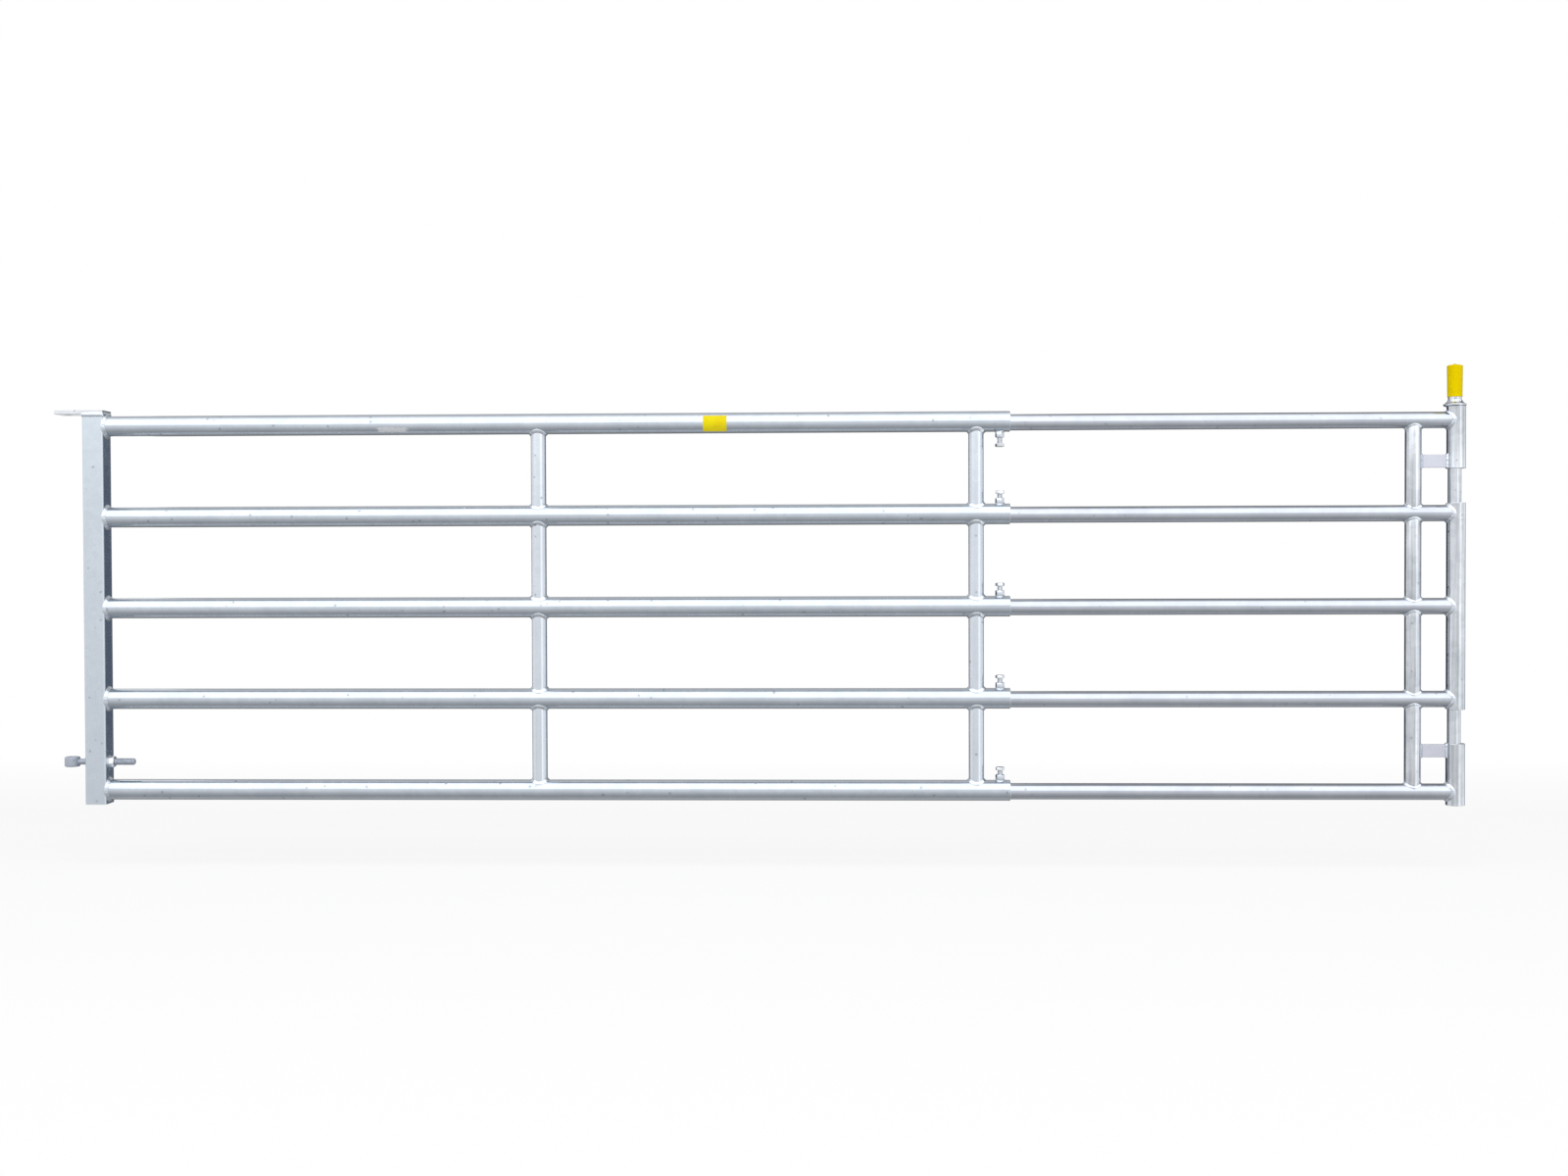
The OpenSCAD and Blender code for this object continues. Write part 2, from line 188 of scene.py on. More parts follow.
def zinc(name):
    look = zincLooks[name]
    material, sheet = paint(name)
    place = sheet.node("ShaderNodeTexCoord", out="Object")
    drift = sheet.noise(place, zincScales["drift"], 2.0, "Color")
    bent = sheet.vector("ADD", place, sheet.vector("SCALE", drift, scale=0.006))
    spangle = sheet.node("ShaderNodeTexVoronoi", None,
                         {"Vector": bent, "Scale": zincScales["spangle"]}, "Color")
    cell = sheet.node("ShaderNodeSeparateColor", None, {0: spangle})
    drawn = sheet.node("ShaderNodeMapping", None, {"Vector": place, "Scale": look["streak"]})
    streak = sheet.noise(drawn, 1.0, 5.0, Roughness=0.65)
    cloud = sheet.noise(place, zincScales["cloud"], 4.0, Roughness=0.6)
    grain = sheet.noise(place, zincScales["grain"], 3.0)
    wave = sheet.noise(place, zincScales["wave"], 1.5)
    tone = (cell - 0.5) * look["spangle"] + (streak - 0.5) * look["streakDepth"] + (cloud - 0.5) * 0.8 + 0.5
    # dross specks, on one cell in eight and more where the zinc clouds
    dross = sheet.node("ShaderNodeTexVoronoi", None, {"Vector": bent, "Scale": zincScales["dross"]})
    lot = sheet.node("ShaderNodeSeparateColor", None, {0: dross.out("Color")})
    chosen = (lot + (cloud - 0.5) * 0.25).math("GREATER_THAN", 0.88)
    speck = sheet.ranged(dross.out("Distance"), 0.08, 0.30, 1.0, 0.0) * chosen
    colour = sheet.blend(speck * look["speck"], sheet.blend(tone, look["dark"], look["pale"]), drossTone)
    rough = (cloud - 0.5) * 0.08 + (cell - 0.5) * 0.04 + speck * 0.2 + look["rough"]
    height = (wave * look["wave"] + cell * zincDepths["spangle"] + streak * zincDepths["streak"]
              + grain * zincDepths["grain"] + speck * zincDepths["dross"])
    bump = sheet.node("ShaderNodeBump", None, {"Strength": 1.0, "Distance": 0.001, "Height": height})
    metallic = 1.0
    if "bloom" in look:  # a pale matt patch, low on the top rail's front
        bloom = look["bloom"]
        away = sheet.vector("DIVIDE", sheet.vector("SUBTRACT", place, bloom["spot"]), bloom["half"])
        away = sheet.parts(sheet.vector("ABSOLUTE", away))
        reach = away.math("MAXIMUM", away.out("Y")).math("MAXIMUM", away.out("Z"))
        ragged = reach + (drift.out("Fac") - 0.5) * 0.9 + (wave - 0.5) * 0.6
        matt = sheet.ranged(ragged, 0.8, 1.05, 1.0, 0.0)
        colour = sheet.blend(matt, colour, bloom["tone"])
        rough = rough + matt * 0.3
        metallic = 1 - matt * 0.9
    sheet.surface(sheet.node("ShaderNodeBsdfPrincipled", None, {
        "Base Color": colour, "Metallic": metallic, "Roughness": rough, "Normal": bump}))
    return material


metals = {name: zinc(name) for name in zincLooks}
print("zinc finishes:", ", ".join(metals))


# places and sizes read from the solids
def tubeX(node):
    low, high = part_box(node)
    return {"start": low.x, "end": high.x, "z": (low.z + high.z) / 2, "r": (high.z - low.z) / 2}


def tubeZ(node):
    low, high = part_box(node)
    return {"x": (low.x + high.x) / 2, "r": (high.x - low.x) / 2, "foot": low.z, "top": high.z}


outerRails = [tubeX(f"outer_rail_{i}") for i in range(1, 6)]
innerRails = [tubeX(f"inner_rail_{i}") for i in range(1, 6)]
midStile, endStile, innerStile = (tubeZ(n + "_stile_1") for n in ("mid", "end", "inner"))
guides = {n: tubeZ(n + "_guide") for n in ("upper", "middle", "lower")}
guide = guides["upper"]
rod = tubeZ("latch_rod")
postLow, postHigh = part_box("hinge_post")
postCentre = (postLow.x + postHigh.x) / 2
postHalf = (postHigh.x - postLow.x) / 2
postCorner = 5 * mm
boltLow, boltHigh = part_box("eye_bolt")
boltZ = (boltLow.z + boltHigh.z) / 2
clampX = sum(v.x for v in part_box("clamp_screw_2")) / 2
walls = {"rail": 2.6 * mm, "stile": 2.6 * mm, "guide": 2.6 * mm, "rod": 3 * mm, "post": 3 * mm}
tubeSides = 96
drillPast = 10 * mm  # how far a drill runs on past the metal


def tidied(mesh):
    work = bmesh.new()
    work.from_mesh(mesh)
    bmesh.ops.remove_doubles(work, verts=work.verts, dist=1e-7)
    bmesh.ops.dissolve_degenerate(work, edges=work.edges, dist=1e-8)
    bmesh.ops.recalc_face_normals(work, faces=work.faces)
    work.to_mesh(mesh)
    work.free()
    return mesh


def smoothed(mesh):
    mesh.polygons.foreach_set("use_smooth", [True] * len(mesh.polygons))
    return mesh


def shaded(mesh, angle=38):
    smoothed(mesh).set_sharp_from_angle(angle=math.radians(angle))
    return mesh


# arrays and plain numbers to rows of x, y, z
def points(*columns):
    return np.stack(np.broadcast_arrays(*columns), -1).astype(float)


def circle(count):
    return np.linspace(0, fullTurn, count, endpoint=False)


def cosSin(count):
    return np.cos(circle(count)), np.sin(circle(count))


# rows of points to a skin, closed round each row
def gridMesh(name, rows, loopRows=False):
    grid = np.array(rows, float)
    ids = np.arange(grid.shape[0] * grid.shape[1]).reshape(grid.shape[:2])
    below = ids if loopRows else ids[:-1]
    above = np.roll(ids, -1, 0) if loopRows else ids[1:]
    faces = np.stack([below, np.roll(below, -1, 1), np.roll(above, -1, 1), above], -1).reshape(-1, 4)
    mesh = bpy.data.meshes.new(name)
    mesh.from_pydata(grid.reshape(-1, 3).tolist(), [], faces.tolist())
    return tidied(mesh)


def ring(axis, centre, radius, along, columns):
    cos, sin = cosSin(columns)
    if axis == "x":
        return points(along, centre[1] + radius * cos, centre[2] + radius * sin)
    return points(centre[0] + radius * cos, centre[1] + radius * sin, along)


# a profile of radius and height, turned round z
def lathe(name, spot, profile, columns, loopRows=False, bulge=lambda k, a: 0):
    a = circle(columns)
    rows = [ring("z", spot, r + bulge(k, a), spot[2] + z, columns) for k, (r, z) in enumerate(profile)]
    return gridMesh(name, rows, loopRows)


def placed(name, data):
    piece = bpy.data.objects.new(name, data)
    scene.collection.objects.link(piece)
    return piece


def throughModifier(mesh, kind, settings, inputs=None):
    blank = placed("blank", mesh)
    modifier = blank.modifiers.new("work", kind)
    for key, value in settings.items():
        setattr(modifier, key, value)
    for identifier, value in (inputs or {}).items():
        modifier[identifier] = value
    made = bpy.data.meshes.new_from_object(blank.evaluated_get(bpy.context.evaluated_depsgraph_get()))
    blank.modifiers.remove(modifier)
    bpy.data.objects.remove(blank)
    return made


def bored(mesh, axis, centre, radius, start, end):
    rows = [ring(axis, centre, r, a, 40) for r, a in ((0, start), (radius, start), (radius, end), (0, end))]
    drill = placed("drill", gridMesh("drill", rows))
    made = throughModifier(mesh, "BOOLEAN", {"operation": "DIFFERENCE", "solver": "EXACT", "object": drill})
    bpy.data.objects.remove(drill)
    return made


def settle(name, mesh, body, metal, *stands, slot=None):
    piece = placed(name, mesh)
    if metal:
        mesh.materials.clear()
        mesh.materials.append(metal)
    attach(piece, body)
    if stands:
        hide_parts(*stands)


# rows at one end of a tube, from its bore to its outside: radius and distance in from the end
def endRows(r, bore, lip):
    if not lip:
        return [(bore, 0), (r, 0)]
    edge, nick = 0.8 * mm, 0.15 * mm
    return [(bore, edge), (bore + 2 * nick, nick), (bore + edge, 0), (r - edge, 0),
            (r - 0.1 * mm, nick), (r + lip, edge), (r + lip * 0.8, 2 * edge), (r, 4 * edge)]


# start and end give the place of the tube's wall at an angle and a radius
def tubeMesh(name, axis, centre, r, wall, start, end, lips=(0, 0), cuts=()):
    a = circle(tubeSides)
    rows = [ring(axis, centre, radius, start(a, radius) + inset, tubeSides)
            for radius, inset in endRows(r, r - wall, lips[0])]
    rows += [ring(axis, centre, r, place, tubeSides) for place in cuts]
    rows += [ring(axis, centre, radius, end(a, radius) - inset, tubeSides)
             for radius, inset in reversed(endRows(r, r - wall, lips[1]))]
    return shaded(gridMesh(name, rows, True))


def flat(place):
    return lambda a, radius: place


# the hinge post, a square tube
postLook = {"support": 0.6 * mm, "ease": 0.4 * mm, "boltHole": 8.4 * mm, "footRow": 3 * mm, "topRow": 2 * mm}


def squareOutline(half, r, support):
    turns = np.linspace(0, math.pi / 2, 9)
    corner = [(half - support - r, half)]
    corner += [(half - r + r * math.sin(t), half - r + r * math.cos(t)) for t in turns]
    corner += [(half, half - support - r)]
    outline = []
    for k in range(4):
        cos, sin = math.cos(k * math.pi / 2), math.sin(k * math.pi / 2)
        outline += [(x * cos + y * sin, y * cos - x * sin) for x, y in corner]
    return np.array(outline)


def postMesh():
    ease = postLook["ease"]
    outside, eased, inside = (squareOutline(postHalf - inset, postCorner - inset, postLook["support"])
                              for inset in (0, ease, walls["post"]))
    foot, top = postLow.z, postHigh.z
    levels = ((inside, foot), (eased, foot), (outside, foot + ease), (outside, foot + postLook["footRow"]),
              (outside, top - postLook["topRow"]), (outside, top), (inside, top))
    rows = [points(outline[:, 0] + postCentre, outline[:, 1], z) for outline, z in levels]
    ends = (postLow.x - drillPast, postHigh.x + drillPast)
    return shaded(bored(gridMesh("hingePost", rows, True), "x", (0, 0, boltZ), postLook["boltHole"], *ends))


settle("post_tube", postMesh(), "outer_frame", metals["postZinc"], "hinge_post")

# the top hinge plate, a flat bar with its hole
plateLook = {"ease": 1.2 * mm, "hole": 8.3 * mm}


def barMesh(name, node):
    work = bmesh.new()
    bmesh.ops.create_cube(work, size=1)
    for v in work.verts:
        v.co = [(a + b) / 2 + c * (b - a) for a, b, c in zip(*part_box(node), v.co)]
    bar = bpy.data.meshes.new(name)
    work.to_mesh(bar)
    work.free()
    return bar


def easedEdges(mesh, width):
    return throughModifier(smoothed(mesh), "BEVEL", {
        "width": width, "segments": 3, "limit_method": "ANGLE", "angle_limit": math.radians(35),
        "harden_normals": True})


plateLow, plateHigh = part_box("top_hinge_plate")
plate = bored(barMesh("hingePlate", "top_hinge_plate"), "z", (0, 0, 0), plateLook["hole"],
              plateLow.z - drillPast, plateHigh.z + drillPast)
plate = easedEdges(plate, plateLook["ease"])
settle("hinge_plate_bar", plate, "outer_frame", metals["plateZinc"], "top_hinge_plate")

# outer rails, cut to the post and open at their mouths
outerLook = {"lip": 0.25 * mm, "clampHole": 6.4 * mm, "holeRows": 14 * mm, "drillReach": 50 * mm}


def toPost(a, radius):  # the post's rounded corners fall back
    past = np.clip(np.abs(radius * np.cos(a)) - (postHalf - postCorner), 0, postCorner)
    return postHigh.x - postCorner + np.sqrt(postCorner ** 2 - past ** 2)


def clampSide(i):  # the top rail's clamp points down
    return -1 if i == 1 else 1


for i, rail in enumerate(outerRails, 1):
    tube = tubeMesh(f"outerRail{i}", "x", (0, 0, rail["z"]), rail["r"], walls["rail"],
                    toPost, flat(rail["end"]), (0, outerLook["lip"]),
                    (clampX - outerLook["holeRows"], clampX + outerLook["holeRows"]))
    tube = bored(tube, "z", (clampX, 0, 0), outerLook["clampHole"],
                 rail["z"], rail["z"] + clampSide(i) * outerLook["drillReach"])
    settle(f"outer_rail_{i}_tube", shaded(tube), "outer_frame", metals["railZinc"], f"outer_rail_{i}")

# stiles, with their ends cut to the rails
stileLook = {"pinch": 0.87, "neck": 32 * mm}  # the inner stile's ends are pressed in, front to back


def stileMesh(name, stile, above, below, pinch=1.0):
    def rise(rail, a, radius):
        return np.sqrt(rail["r"] ** 2 - (radius * pinch * np.sin(a)) ** 2)

    low, high = below["z"] + stileLook["neck"], above["z"] - stileLook["neck"]
    mesh = tubeMesh(name, "z", (stile["x"], 0, 0), stile["r"], walls["stile"],
                    lambda a, radius: below["z"] + rise(below, a, radius),
                    lambda a, radius: above["z"] - rise(above, a, radius), cuts=(low, high))
    for v in mesh.vertices:
        if not low - 0.1 * mm <= v.co.z <= high + 0.1 * mm:
            v.co.y *= pinch
    return mesh


for i in range(1, 5):
    for kind, stile in (("mid", midStile), ("end", endStile)):
        tube = stileMesh(f"{kind}Stile{i}", stile, outerRails[i - 1], outerRails[i])
        settle(f"{kind}_stile_{i}_tube", tube, "outer_frame", metals["stileZinc"], f"{kind}_stile_{i}")
    tube = stileMesh(f"innerStile{i}", innerStile, innerRails[i - 1], innerRails[i], stileLook["pinch"])
    settle(f"inner_stile_{i}_tube", tube, "sliding_section", metals["smoothTubeZinc"], f"inner_stile_{i}")

# inner rails, cut to the latch guides, and the guides
guideLook = {"lip": 0.2 * mm}


def toGuide(a, radius):
    return guide["x"] - np.sqrt(guide["r"] ** 2 - (radius * np.cos(a)) ** 2)


for i, rail in enumerate(innerRails, 1):
    tube = tubeMesh(f"innerRail{i}", "x", (0, 0, rail["z"]), rail["r"], walls["rail"],
                    flat(rail["start"]), toGuide)
    settle(f"inner_rail_{i}_tube", tube, "sliding_section", metals["smoothRailZinc"], f"inner_rail_{i}")
for name, g in guides.items():
    tube = tubeMesh(name + "Guide", "z", (g["x"], 0, 0), g["r"], walls["guide"],
                    flat(g["foot"]), flat(g["top"]), (guideLook["lip"], guideLook["lip"]))
    settle(name + "_guide_tube", tube, "sliding_section", metals["smoothTubeZinc"], name + "_guide")
print("tubes made")

# flat-bar brackets between the inner stile and the guides
bracketLook = {"ease": 1.0 * mm}
for name in ("upper", "lower"):
    bar = easedEdges(barMesh(name + "Bracket", name + "_bracket"), bracketLook["ease"])
    settle(name + "_bracket_bar", bar, "sliding_section", metals["bracketZinc"], name + "_bracket")


# geometry trees: named inputs, and the tree run on a mesh
def geometryTree(name, **inputs):
    tree = bpy.data.node_groups.new(name, "GeometryNodeTree")
    tree.interface.new_socket("Geometry", in_out="OUTPUT", socket_type="NodeSocketGeometry")
    kinds = {"Geometry": "Geometry", "Metal": "Material", **inputs}
    sockets = {}
    for label, kind in kinds.items():
        socket = tree.interface.new_socket(label, in_out="INPUT", socket_type="NodeSocket" + kind)
        sockets[label] = socket.identifier
    sheet = NodeSheet(tree)
    start = sheet.node("NodeGroupInput")
    return (tree, sockets), sheet, {label: start.out(label) for label in kinds}


def endTree(sheet, shape, metal):
    shape = sheet.node("GeometryNodeSetShadeSmooth", None, {"Geometry": shape})
    shape = sheet.node("GeometryNodeRealizeInstances", None, {"Geometry": shape})
    shape = sheet.node("GeometryNodeSetMaterial", None, {"Geometry": shape, "Material": metal})
    sheet.node("NodeGroupOutput", None, {"Geometry": shape})


def runTree(name, made, mesh, metal, values):
    tree, sockets = made
    values = {"Metal": metals[metal], **values}
    inputs = {sockets[label]: value for label, value in values.items()}
    result = throughModifier(mesh, "NODES", {"node_group": tree}, inputs)
    result.name = name
    return tidied(result)


# a screw: the head comes in as a mesh, the tree winds the thread, tip at z = 0
def screwTree():
    made, sheet, given = geometryTree("woundScrew", Radius="Float", Depth="Float", Pitch="Float",
                                      Length="Float", Threaded="Float", Tip="Float", Rows="Int")
    grid = sheet.node("GeometryNodeMeshGrid", None,
                      {"Size X": 1.0, "Size Y": 1.0, "Vertices X": 37, "Vertices Y": given["Rows"]})
    spot = sheet.parts(sheet.node("GeometryNodeInputPosition"))
    share = spot.out("X") + 0.5
    along = (spot.out("Y") + 0.5) * given["Length"]
    turn = along / given["Pitch"] - share
    tooth = sheet.ranged((turn.math("FRACT") - 0.5).math("ABSOLUTE") * 2, 0.12, 0.88)
    tooth = tooth * along.math("LESS_THAN", given["Threaded"])
    radius = given["Radius"] - given["Depth"] * (1 - tooth)
    radius = radius.math("MINIMUM", given["Radius"] - given["Tip"] + along)
    radius = radius * along.math("GREATER_THAN", 1e-6)  # both ends close to a point
    radius = radius * (given["Length"] - along).math("GREATER_THAN", 1e-6)
    angle = share * fullTurn
    wound = sheet.node("ShaderNodeCombineXYZ", None,
                       {"X": radius * angle.math("COSINE"), "Y": radius * angle.math("SINE"), "Z": along})
    shank = sheet.node("GeometryNodeSetPosition", None, {"Geometry": grid, "Position": wound})
    shank = sheet.node("GeometryNodeMergeByDistance", None, {"Geometry": shank, "Distance": 1e-6})
    whole = sheet.node("GeometryNodeJoinGeometry", None, {0: [shank, given["Geometry"]]})
    endTree(sheet, whole, given["Metal"])
    return made


woundScrew = screwTree()

# hexagons with eased corners, for heads and nuts
hexLook = {"ease": 0.9 * mm, "chamfer": 30, "slack": 0.05 * mm, "threadEase": 0.8 * mm}


def hexOutline(af):
    ease = hexLook["ease"]
    flatHalf = af / 2 * math.tan(math.radians(30))
    corner = af / 2 / math.cos(math.radians(30)) - ease * 0.28
    outline = []
    for k in range(6):
        t = math.radians(60 * k + 30)
        cos, sin = math.cos(t), math.sin(t)
        for along in (-flatHalf + ease, -flatHalf + ease * 1.3, 0, flatHalf - ease * 1.3, flatHalf - ease):
            outline.append((af / 2 * cos - along * sin, af / 2 * sin + along * cos))
        t = math.radians(60 * k + 60)
        outline.append((corner * math.cos(t), corner * math.sin(t)))
    return np.array(outline)


# each row is the outline, or the outline pulled in to a circle
def hexRows(af, z0, z1, hole=0.0, washer=0.0, dish=0.0, crown=0.96):
    outline = hexOutline(af)
    reach = np.linalg.norm(outline, axis=1)
    spoke = outline / reach[:, None]
    face = af / 2 * crown
    shoulder = z1 - np.maximum(reach - face, 0) * math.tan(math.radians(hexLook["chamfer"]))
    rows = [(spoke * hole, z0)]
    if washer:
        rows += [(spoke * face, z0), (spoke * face, z0 + washer), (outline * 0.98, z0 + washer),
                 (outline, z0 + washer + 0.2 * mm)]
    else:
        rows += [(outline * 0.98, z0), (outline, z0 + 0.3 * mm)]
    rows += [(outline, shoulder - 0.2 * mm), (outline * 0.99, shoulder), (spoke * face, z1 - 0.05 * mm),
             (spoke * (face - 0.4 * mm), z1)]
    if hole:
        ease = hexLook["threadEase"]
        rows += [(spoke * (hole + ease), z1), (spoke * hole, z1 - ease)]
    else:
        rows += [(spoke * face * 0.6, z1 - dish), (spoke * 0, z1 - dish)]
    return [points(*outline.T, z) for outline, z in rows]


def turned(degrees, axis):
    return Matrix.Rotation(math.radians(degrees), 4, axis)


# clamp nuts and screws near the mouths
clampLook = {"af": 19 * mm, "head": 7.5 * mm, "washer": 0.5 * mm, "dish": 0.4 * mm, "nutSink": 1.6 * mm,
             "turns": (12, 20, 4, 50, 33), "nutTurns": (18, -16, -12, -19, -14),
             "thread": {"Radius": 6 * mm, "Depth": 1.0 * mm, "Pitch": 1.75 * mm, "Tip": 1.2 * mm,
                        "Rows": 170}}


def seat(mesh, z, side, turn):
    flip = turned(180 if side < 0 else 0, "X")
    mesh.transform(Matrix.Translation((clampX, 0, z)) @ flip @ turned(turn, "Z"))
    return mesh


for i, rail in enumerate(outerRails, 1):
    side, screwName = clampSide(i), f"clamp_screw_{i}"
    low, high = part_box(screwName)
    whole = high.z - low.z
    length = whole - clampLook["head"]
    rows = hexRows(clampLook["af"], length, whole, washer=clampLook["washer"], dish=clampLook["dish"])
    head = gridMesh("clampHead", rows)
    head.transform(turned(clampLook["turns"][i - 1], "Z"))
    screw = runTree(f"clampScrew{i}", woundScrew, shaded(head), "screwZinc", {
        **clampLook["thread"], "Length": length + clampLook["washer"], "Threaded": length})
    seat(shaded(screw), high.z if side < 0 else low.z, side, 0)
    settle(screwName + "_bolt", screw, screwName, None, screwName, slot="galvanised_bolt")
    low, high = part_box(f"clamp_nut_{i}")
    reach = rail["z"] - low.z if side < 0 else high.z - rail["z"]
    rows = hexRows(clampLook["af"], rail["r"] - clampLook["nutSink"], reach,
                   clampLook["thread"]["Radius"] + hexLook["slack"], crown=0.99)
    nut = seat(shaded(gridMesh(f"clampNut{i}", rows, True)), rail["z"], side, clampLook["nutTurns"][i - 1])
    settle(f"clamp_nut_{i}_hex", nut, "outer_frame", metals["stileZinc"], f"clamp_nut_{i}")
print("clamps made")

# the eye bolt: a forged eye on a long thread, and its nut on the post
eyeLook = {"hole": 8.3 * mm, "holeEase": 1.2 * mm, "ease": 3.0 * mm, "height": 23.5 * mm, "root": 3 * mm,
           "nutAf": 24 * mm, "nutTurn": -14,
           "thread": {"Radius": 8 * mm, "Depth": 0.75 * mm, "Pitch": 2 * mm, "Tip": 3.0 * mm, "Rows": 560,
                      "Threaded": 118 * mm}}


def eyeMesh(r):
    ease, hole, entry, low = eyeLook["ease"], eyeLook["hole"], eyeLook["holeEase"], -eyeLook["height"] / 2
    half = [(hole, low + entry), (hole + entry / 3, low + entry / 3), (hole + entry, low)]
    turns = np.linspace(0, math.pi / 2, 6)
    half += [(r - ease + ease * math.sin(t), low + ease - ease * math.cos(t)) for t in turns]
    return lathe("forgedEye", (0, 0, 0), half + [(radius, -z) for radius, z in reversed(half)], 72, True)


eyeRadius, boltTip = -boltLow.x, boltHigh.x
eye = eyeMesh(eyeRadius)
eye.transform(Matrix.Translation((0, 0, boltTip)) @ turned(-90, "Y"))  # into the thread's own frame
bolt = runTree("eyeBolt", woundScrew, shaded(eye), "boltZinc", {
    **eyeLook["thread"], "Length": boltTip - eyeRadius + eyeLook["root"]})
bolt.transform(Matrix.Translation((boltTip, 0, boltZ)) @ turned(-90, "Y"))
settle("eye_bolt_forged", shaded(bolt), "eye_bolt", None, "eye_bolt", slot="galvanised_bolt")
low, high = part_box("eye_bolt_nut")
rows = hexRows(eyeLook["nutAf"], 0, high.x - low.x, eyeLook["thread"]["Radius"] + hexLook["slack"])
nut = gridMesh("eyeBoltNut", rows, True)
nut.transform(Matrix.Translation((low.x, 0, boltZ)) @ turned(eyeLook["nutTurn"], "X") @ turned(90, "Y"))
settle("eye_bolt_hex", shaded(nut), "outer_frame", metals["screwZinc"], "eye_bolt_nut",
       slot="galvanised_bolt")
print("eye bolt made")

# the latch pin: rod, collar and grip
latchLook = {"rim": 5.5 * mm, "lumps": 0.5 * mm, "footLip": 0.05 * mm}
tube = tubeMesh("latchRod", "z", (rod["x"], 0, 0), rod["r"], walls["rod"],
                flat(rod["foot"]), flat(rod["top"]), (latchLook["footLip"], 0))
settle("latch_rod_tube", tube, "latch_pin", metals["smoothTubeZinc"], "latch_rod")


def collarMesh():
    low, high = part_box("latch_collar")
    rim, rise, thick = (high.x - low.x) / 2, high.z - low.z, latchLook["rim"]
    edge, edgeZ = rim - 1.6 * mm, thick + 0.2 * mm
    washer = [(rod["r"], 0), (rim - 2.2 * mm, 0), (rim - 0.5 * mm, 1.3 * mm), (rim, 2.2 * mm),
              (rim, thick - 1.4 * mm), (rim - 0.4 * mm, thick - 0.4 * mm), (edge, edgeZ)]
    weld = [(edge - (edge - rod["r"] - 1.0 * mm) * (1 - (1 - f) ** 1.5), edgeZ + (rise - edgeZ) * f ** 1.25)
            for f in np.linspace(0.1, 1, 10)]  # a hollow flank

    def lumps(k, a):
        if not 0 <= k - len(washer) < len(weld):
            return 0
        return latchLook["lumps"] * (np.sin(9 * a + 0.7 * k) * 0.5 + np.sin(17 * a - 0.5 * k) * 0.35)

    profile = washer + weld + [(rod["r"], rise)]
    return shaded(lathe("latchCollar", (rod["x"], 0, low.z), profile, tubeSides, True, lumps))


settle("latch_collar_ring", collarMesh(), "latch_pin", metals["smoothTubeZinc"], "latch_collar")

# the yellow grip, a moulded sleeve with shallow flutes
gripLook = {"foot": 16.9 * mm, "top": 17.6 * mm, "dome": 3 * mm, "nub": 1.5 * mm, "nubRadius": 3 * mm,
            "inside": 6 * mm, "waist": 0.15 * mm, "flutes": 26, "fluteDepth": 0.12 * mm, "sides": 156,
            "yellow": (0.80, 0.605, 0.0008), "deepYellow": (0.77, 0.57, 0.0008), "sheen": (1.0, 0.86, 0.1),
            "cloud": 60.0, "streak": (600, 600, 25), "grain": 1800.0}


# the profile has radius, height and share of the flutes' depth
def gripMesh():
    low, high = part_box("grip")
    foot, top, nub, dome, nubR = (gripLook[k] for k in ("foot", "top", "nub", "dome", "nubRadius"))
    tall = high.z - low.z
    shoulder = tall - nub - dome
    hold, waist, waistZ = rod["r"] + 0.02 * mm, foot - gripLook["waist"], 4.0 * mm
    profile = [(0, gripLook["inside"], 0), (hold, gripLook["inside"], 0), (hold, 0.4 * mm, 0),
               (rod["r"] + 0.5 * mm, 0, 0), (foot - 0.5 * mm, 0, 0), (foot - 0.1 * mm, 0.25 * mm, 0),
               (foot, 0.8 * mm, 0), (foot, 3.4 * mm, 0), (waist, waistZ, 0.3)]  # a plain band at the foot
    for k in range(1, 12):
        f = k / 11
        profile.append((waist + (top - waist) * f, waistZ + (shoulder - 5.2 * mm) * f, 1 if k < 11 else 0.3))
    edge = 1.6 * mm
    for t in np.linspace(0.2, 1, 5) * 1.2:
        profile.append((top - edge + edge * math.cos(t), shoulder - 1.2 * mm + edge * math.sin(t), 0))
    rimR, rimZ, _ = profile[-1]
    for f in np.linspace(0.15, 1, 7):
        r = rimR + (nubR + 0.6 * mm - rimR) * f
        fall = ((r - nubR) / (rimR - nubR)) ** 2
        profile.append((r, rimZ + (shoulder + dome - rimZ) * (1 - fall), 0))
    profile += [(nubR, tall - nub + 0.3 * mm, 0), (nubR, tall - 0.4 * mm, 0),
                (nubR - 0.4 * mm, tall, 0), (0, tall, 0)]

    def flute(k, a):
        return -gripLook["fluteDepth"] * profile[k][2] * (0.5 - 0.5 * np.cos(gripLook["flutes"] * a)) ** 2

    sleeve = [row[:2] for row in profile]
    return shaded(lathe("moulding", (rod["x"], 0, low.z), sleeve, gripLook["sides"], bulge=flute), 50)


